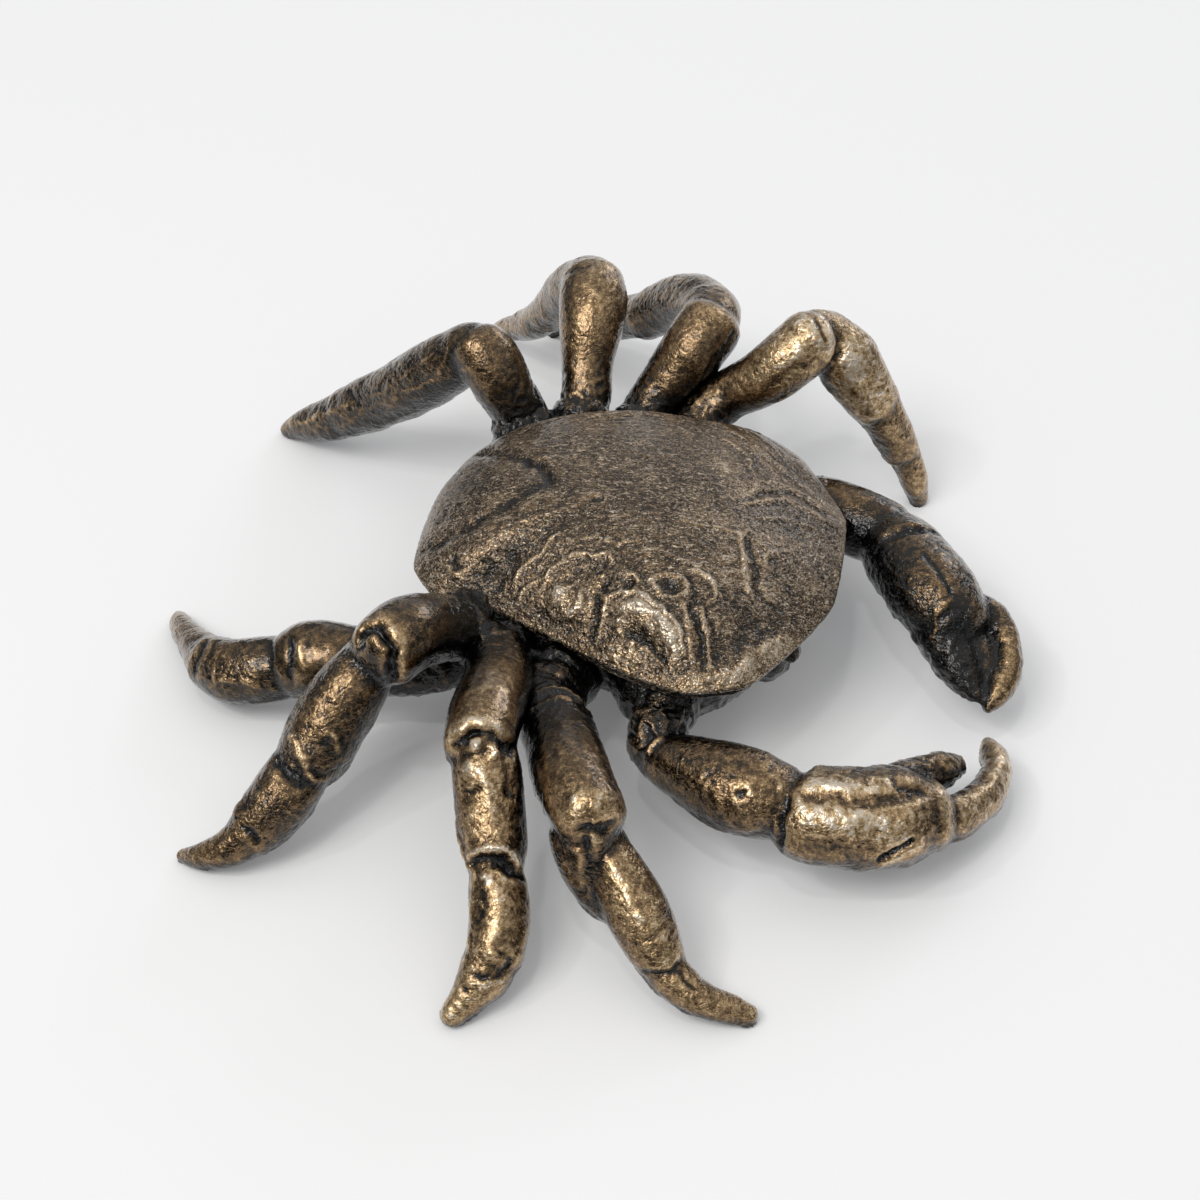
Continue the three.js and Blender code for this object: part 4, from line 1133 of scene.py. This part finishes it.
def limb_places(points, segments):
    """The place nearest to each point on the limb's middle line, and how far it is along."""
    lines = []
    start = 0.0
    for stations in segments.values():
        line, at = flowing(stations, SEGMENT_STEP)
        lines.append(np.column_stack([line[:, :3], at + start]))
        start += at[-1]
    table = np.concatenate(lines)
    tree = KDTree(len(table))
    for i, place in enumerate(table[:, :3].tolist()):
        tree.insert(place, i)
    tree.balance()
    nearest = table[[tree.find(point)[1] for point in points.tolist()]]
    return nearest[:, :3], nearest[:, 3]


def limb_skin(places, black, seed):
    """The height of a limb's cast skin: hills, two sizes of folds, grain, and the wax,
    which lies crumpled where it was left black."""
    loose = wander(places, 3.0, 0.9, seed)
    skin = 0.22 * ripple(loose, 5.0, seed + 3)
    skin += 0.14 * creased(loose, 2.6, seed + 4)
    skin += 0.1 * creased(loose, 1.3, seed + 5)
    skin += 0.05 * ripple(places, 0.8, seed + 6)
    skin += 0.45 * black * creased(loose, 2.2, seed + 16)
    return skin


def build_limb(name, props, material, seed):
    """One limb, from inside the body to its tip."""
    roughness, smooth_to, wear, root_black, root_span = LOOKS[name]
    surface = Surface(*joined(limb_shells(LIMBS[name])))
    surface.fuse(props.limb_voxel / MM)
    surface.relax(6)
    places = surface.points
    middle, along = limb_places(places, LIMBS[name])
    upwards = unit(places - middle)[:, 2]
    root = 1 - ease(along, *root_span)
    bent = wander(wander(places, 3.0, 0.5, seed + 8), 1.2, 0.25, seed + 12)
    heights, tones = marked(bent, MARKS[name])

    black = np.clip(np.maximum(-1.6 * tones - 0.1, root), 0, 1)
    strength = roughness * (0.45 + np.maximum(0.55 * ease(along, 18, 48), 0.9 * root))
    skin = strength * limb_skin(places, black, seed)
    # the lip left where the two halves of the mould met, low on both sides and in stretches
    broken = ease(ripple(places, 5.0, seed + 7), -0.3, 0.3)
    seam = bell(upwards + 0.42, 0.09) * ease(along, 14, 24)
    surface.push(props.crumple * skin + 0.3 * broken * seam + 0.7 * heights)

    # the lower side of each segment is painted darker, as shade
    low = 1 - ease(upwards, -0.55, 0.1)
    slack = wear - root_black * root + 0.5 * tones - 0.25 * low
    wear_and_painted_light = rubbing(surface, 4, 45, 0.17, slack)
    surface.note("wear_and_painted_light", wear_and_painted_light)
    dented = 0.25 + 0.75 * np.maximum(ease(along, smooth_to, smooth_to + 22), root)
    dented = dented * (0.75 + 0.5 * ripple(places, 6.0, seed + 15))
    surface.note("dented", np.clip(np.maximum(dented, 1 - ease(wear_and_painted_light, 0.1, 0.35)), 0, 1))

    # the tips rest on the table and don't go through it
    surface.put(np.maximum(surface.points, (-np.inf, -np.inf, 0.0)))
    surface.finish("cast_" + name, material, name)


# ---------------------------------------------------------------- materials


def empty_tree(owner):
    """The node tree of a material or a world, cleared of what it comes with."""
    owner.use_nodes = True
    owner.node_tree.nodes.clear()
    return owner.node_tree


def add_node(tree, kind, inputs=None, stops=None, **settings):
    """Adds a node with its settings, its ramp's stops, and its inputs' values or links."""
    made = tree.nodes.new(kind)
    for name, value in settings.items():
        setattr(made, name, value)
    for socket, value in (inputs or {}).items():
        if isinstance(value, bpy.types.NodeSocket):
            tree.links.new(value, made.inputs[socket])
        else:
            made.inputs[socket].default_value = value
    if stops:
        elements = made.color_ramp.elements
        while len(elements) < len(stops):
            elements.new(0.5)
        for element, (place, colour) in zip(elements, stops):
            element.position = place
            element.color = (*colour, 1)
    return made


def cast_bronze(name, finish, grain, grit, clouds, gloss, lines, haze, dents):
    """Cast bronze, darkened with chemicals, waxed, and rubbed back on its crests: black
    and shiny in the hollows, brown on the slopes, and bare warm metal where hands reach,
    darker as painted shade where other metal is near, and silver as a painted highlight on the
    most rubbed crests.

    grain is the spacing of the cast skin's grain in millimetres, grit and clouds how far the
    grain and its wider blotches show in the colour, gloss the roughness of waxed and bare
    metal, lines how far the skin's hair lines show, haze how far dried wax greys the metal,
    and dents how deep the skin is dented, which breaks its shine into glints.
    """
    material = bpy.data.materials.new(name)
    tree = empty_tree(material)
    place = add_node(tree, "ShaderNodeTexCoord").outputs["Object"]
    wear_and_painted_light = add_node(tree, "ShaderNodeAttribute", attribute_name="wear_and_painted_light").outputs["Fac"]
    dented = add_node(tree, "ShaderNodeAttribute", attribute_name="dented").outputs["Fac"]

    # Real grain is about 0.3 mm apart. It is drawn a little coarser, or it would not show.
    # A noise has 1 / Scale wide cells, and its spots lie about one and a half cells apart.
    per_metre = 1 / (grain * MM)
    skin = add_node(tree, "ShaderNodeTexNoise", {
        "Vector": place, "Scale": per_metre * 1.5, "Detail": 3.0, "Roughness": 0.6,
        "Distortion": 0.4}).outputs["Fac"]
    # Blotches lie about five grains apart, and hair lines are drawn out in one direction.
    mottle = add_node(tree, "ShaderNodeTexNoise", {
        "Vector": place, "Scale": per_metre / 3.5, "Detail": 4.0, "Roughness": 0.65}).outputs["Fac"]
    drawn = add_node(tree, "ShaderNodeMapping", {
        "Vector": place, "Rotation": (0.0, 0.0, math.radians(20)), "Scale": (1.0, 3.0, 1.0)},
        vector_type="TEXTURE").outputs["Vector"]
    hairs = add_node(tree, "ShaderNodeTexNoise", {
        "Vector": drawn, "Scale": per_metre * 0.6, "Detail": 2.0, "Roughness": 0.55,
        "Distortion": 0.8}).outputs["Fac"]
    off_line = add_node(tree, "ShaderNodeMath", {0: hairs, 1: 0.5}, operation="SUBTRACT")
    off_line = add_node(tree, "ShaderNodeMath", {0: off_line.outputs[0]}, operation="ABSOLUTE")
    line = add_node(tree, "ShaderNodeMapRange", {
        "Value": off_line.outputs[0], "From Min": 0.0, "From Max": 0.035,
        "To Min": 1.0, "To Max": 0.0}, interpolation_type="SMOOTHSTEP").outputs[0]

    # Metal with other metal near it is painted darker, partly as wax that hands don't reach and
    # partly as painted shade in recesses and between parts. Its coat is thinned there so that it
    # reflects less, which is painted shade too.
    occlusion_shade = add_node(tree, "ShaderNodeAmbientOcclusion", {"Distance": SHADE_REACH}, samples=6)
    wax_and_painted_shade = add_node(tree, "ShaderNodeMapRange", {
        "Value": occlusion_shade.outputs["AO"], "From Min": 0.25, "From Max": 0.85,
        "To Min": -0.45, "To Max": 0.0}).outputs[0]
    coat = add_node(tree, "ShaderNodeMapRange", {
        "Value": occlusion_shade.outputs["AO"], "From Min": 0.15, "From Max": 0.5,
        "To Min": 0.1, "To Max": 1.0}).outputs[0]

    # this carries the wear and painted light from the mesh, and the painted shade of near metal
    rubbed = add_node(tree, "ShaderNodeMath", {0: wear_and_painted_light, 1: wax_and_painted_shade}, operation="ADD")
    for pattern, share in ((skin, grit), (mottle, clouds)):
        swing = add_node(tree, "ShaderNodeMath", {0: pattern, 1: 0.5}, operation="SUBTRACT")
        rubbed = add_node(tree, "ShaderNodeMath", {
            0: swing.outputs[0], 1: share, 2: rubbed.outputs[0]}, operation="MULTIPLY_ADD")
    rubbed = add_node(tree, "ShaderNodeMath", {
        0: line, 1: lines, 2: rubbed.outputs[0]}, operation="MULTIPLY_ADD").outputs[0]

    tones = [finish.wax, finish.patina, finish.bronze, finish.bare, finish.polish_and_highlight]
    greyed = [[part + haze * (sum(tone) / 3 - part) for part in tone] for tone in tones]
    colour = add_node(tree, "ShaderNodeValToRGB", {"Fac": rubbed},
                      stops=list(zip(PATINA_STOPS, greyed)))
    roughness = add_node(tree, "ShaderNodeMapRange", {
        "Value": rubbed, "From Min": 0.2, "From Max": 0.8,
        "To Min": gloss[0], "To Max": gloss[1]}).outputs[0]
    metallic = add_node(tree, "ShaderNodeMapRange", {
        "Value": rubbed, "From Min": 0.1, "From Max": 0.35,
        "To Min": 0.75, "To Max": 1.0}).outputs[0]

    # Dents about one grain and about three grains across break the shine into glints.
    small = add_node(tree, "ShaderNodeTexNoise", {
        "Vector": place, "Scale": per_metre * 0.8, "Detail": 0.6, "Distortion": 0.5}).outputs["Fac"]
    small = add_node(tree, "ShaderNodeMath", {
        0: line, 1: lines * 0.8, 2: small}, operation="MULTIPLY_ADD").outputs[0]
    large = add_node(tree, "ShaderNodeTexNoise", {
        "Vector": place, "Scale": per_metre * 0.28, "Detail": 1.0, "Distortion": 0.8}).outputs["Fac"]
    depth = dents * grain * MM
    bump = add_node(tree, "ShaderNodeBump", {
        "Height": large, "Strength": dented, "Distance": depth * 0.6}).outputs["Normal"]
    pocked = add_node(tree, "ShaderNodeBump", {
        "Height": small, "Strength": dented, "Distance": depth * 0.4,
        "Normal": bump}).outputs["Normal"]
    shader = add_node(tree, "ShaderNodeBsdfPrincipled", {
        "Base Color": colour.outputs["Color"], "Roughness": roughness, "Metallic": metallic,
        "Normal": pocked, "Coat Normal": pocked, "Coat Weight": coat, "Coat Roughness": 0.12,
        "Coat IOR": 1.38})
    add_node(tree, "ShaderNodeOutputMaterial", {"Surface": shader.outputs[0]})
    return material


def bronze(kind):
    """The crab's bronze of one kind, made once and shared by its pieces."""
    made = bpy.data.materials.get(kind)
    return made or cast_bronze(kind, bpy.context.scene.crab_finish, **BRONZES[kind])


def table_acrylic(colour):
    """Matt white acrylic, lit faintly from beneath as product tables are, so that its
    shadows stay soft and pale."""
    material = bpy.data.materials.new("matt_white_acrylic")
    tree = empty_tree(material)
    shader = add_node(tree, "ShaderNodeBsdfPrincipled", {
        "Base Color": (*colour, 1), "Roughness": 0.9, "Specular IOR Level": 0.2,
        "Emission Color": (1.0, 1.0, 1.0, 1.0), "Emission Strength": 0.12})
    add_node(tree, "ShaderNodeOutputMaterial", {"Surface": shader.outputs[0]})
    return material


# ---------------------------------------------------------------- stage


def build_table(colour):
    """The table top, level with the crab's leg tips."""
    mesh = bpy.data.meshes.new("table_top")
    corners = [(x * TABLE_HALF, y * TABLE_HALF, 0) for x, y in ((-1, -1), (1, -1), (1, 1), (-1, 1))]
    mesh.from_pydata(corners, [], [(0, 1, 2, 3)])
    mesh.materials.append(table_acrylic(colour))
    table = placed("table_top", mesh)


def build_room():
    """A pale room, darker towards the floor."""
    world = bpy.data.worlds.new("pale_room")
    tree = empty_tree(world)
    facing = add_node(tree, "ShaderNodeTexCoord").outputs["Generated"]
    height = add_node(tree, "ShaderNodeSeparateXYZ", {0: facing}).outputs["Z"]
    sky = add_node(tree, "ShaderNodeValToRGB", {"Fac": height},
                   stops=[(place, linear(code)) for place, code in SKY])
    background = add_node(tree, "ShaderNodeBackground", {
        "Color": sky.outputs["Color"], "Strength": SKY_STRENGTH})
    add_node(tree, "ShaderNodeOutputWorld", {"Surface": background.outputs[0]})
    bpy.context.scene.world = world


def aim(holder, place, direction):
    """Stands a lamp or the camera at a place, facing a direction."""
    holder.location = place
    holder.rotation_mode = "QUATERNION"
    holder.rotation_quaternion = direction.to_track_quat("-Z", "Y")


def build_lamps():
    """The soft lamps and the two small ones that make glints."""
    for name, place, size, power, colour in LAMPS:
        lamp = bpy.data.lights.new(name, "AREA")
        lamp.color = linear(colour)
        lamp.shape = "SQUARE"
        lamp.size = size
        lamp.energy = power
        holder = placed(name, lamp)
        holder.visible_camera = False
        aim(holder, place, -Vector(place))


def build_camera(props):
    """The camera, and a plain view transform for what it renders."""
    turn, rise = props.azimuth, props.elevation
    back = Vector((math.sin(turn) * math.cos(rise), -math.cos(turn) * math.cos(rise),
                   math.sin(rise)))
    camera = placed("camera", bpy.data.cameras.new("camera"))
    camera.data.lens = props.lens
    camera.data.sensor_width = 36.0
    camera.data.clip_start = 0.01
    aim(camera, Vector(props.target) + back * props.distance, -back)
    bpy.context.scene.camera = camera
    bpy.context.scene.view_settings.view_transform = "Standard"


# ---------------------------------------------------------------- add-on


class CRAB_OT_carapace(bpy.types.Operator):
    """Build the domed carapace"""

    bl_idname = "crab.carapace"
    bl_label = "Carapace"

    def execute(self, context):
        build_carapace(context.scene.crab_casting, bronze("cast_bronze_satin_wax"))
        return {"FINISHED"}


class CRAB_OT_underbody(bpy.types.Operator):
    """Build the flanks, the belly and the roots of the limbs"""

    bl_idname = "crab.underbody"
    bl_label = "Underbody"

    def execute(self, context):
        build_underbody(context.scene.crab_casting, bronze("cast_bronze_rubbed"))
        return {"FINISHED"}


class CRAB_OT_limbs(bpy.types.Operator):
    """Build the two claws and the eight legs"""

    bl_idname = "crab.limbs"
    bl_label = "Claws and legs"

    def execute(self, context):
        material = bronze("cast_bronze_rubbed")
        # each limb has twenty seeds to itself
        for number, name in enumerate(LIMBS):
            build_limb(name, context.scene.crab_casting, material, 100 + 20 * number)
        return {"FINISHED"}


class CRAB_OT_stage(bpy.types.Operator):
    """Build the table, the lights and the camera"""

    bl_idname = "crab.stage"
    bl_label = "Table, light and camera"

    def execute(self, context):
        build_table(context.scene.crab_stage.floor)
        build_room()
        build_lamps()
        build_camera(context.scene.crab_stage)
        return {"FINISHED"}


class CRAB_PT_panel(bpy.types.Panel):
    """The crab's sizes and colours, and the buttons that build it"""

    bl_label = "Bronze crab"
    bl_idname = "CRAB_PT_panel"
    bl_space_type = "VIEW_3D"
    bl_region_type = "UI"
    bl_category = "Bronze Crab"

    def draw(self, context):
        for name in GROUPS:
            column = self.layout.column(align=True)
            group = getattr(context.scene, name)
            for field in group.bl_rna.properties.keys():
                if field not in ("rna_type", "name"):
                    column.prop(group, field)
        for operator in OPERATORS:
            self.layout.operator(operator.bl_idname)


GROUPS = {"crab_casting": CrabCasting, "crab_finish": CrabFinish, "crab_stage": CrabStage}
OPERATORS = [CRAB_OT_carapace, CRAB_OT_underbody, CRAB_OT_limbs, CRAB_OT_stage]


def register():
    """Registers the classes and hangs the settings on the scene."""
    for item in [*GROUPS.values(), *OPERATORS, CRAB_PT_panel]:
        bpy.utils.register_class(item)
    for name, group in GROUPS.items():
        setattr(bpy.types.Scene, name, bpy.props.PointerProperty(type=group))


def unregister():
    """Takes the settings off the scene and unregisters the classes."""
    for name in GROUPS:
        delattr(bpy.types.Scene, name)
    for item in reversed([*GROUPS.values(), *OPERATORS, CRAB_PT_panel]):
        bpy.utils.unregister_class(item)


def main():
    register()
    bpy.ops.crab.stage()
    bpy.ops.crab.carapace()
    bpy.ops.crab.underbody()
    bpy.ops.crab.limbs()


if __name__ == "__main__":
    main()
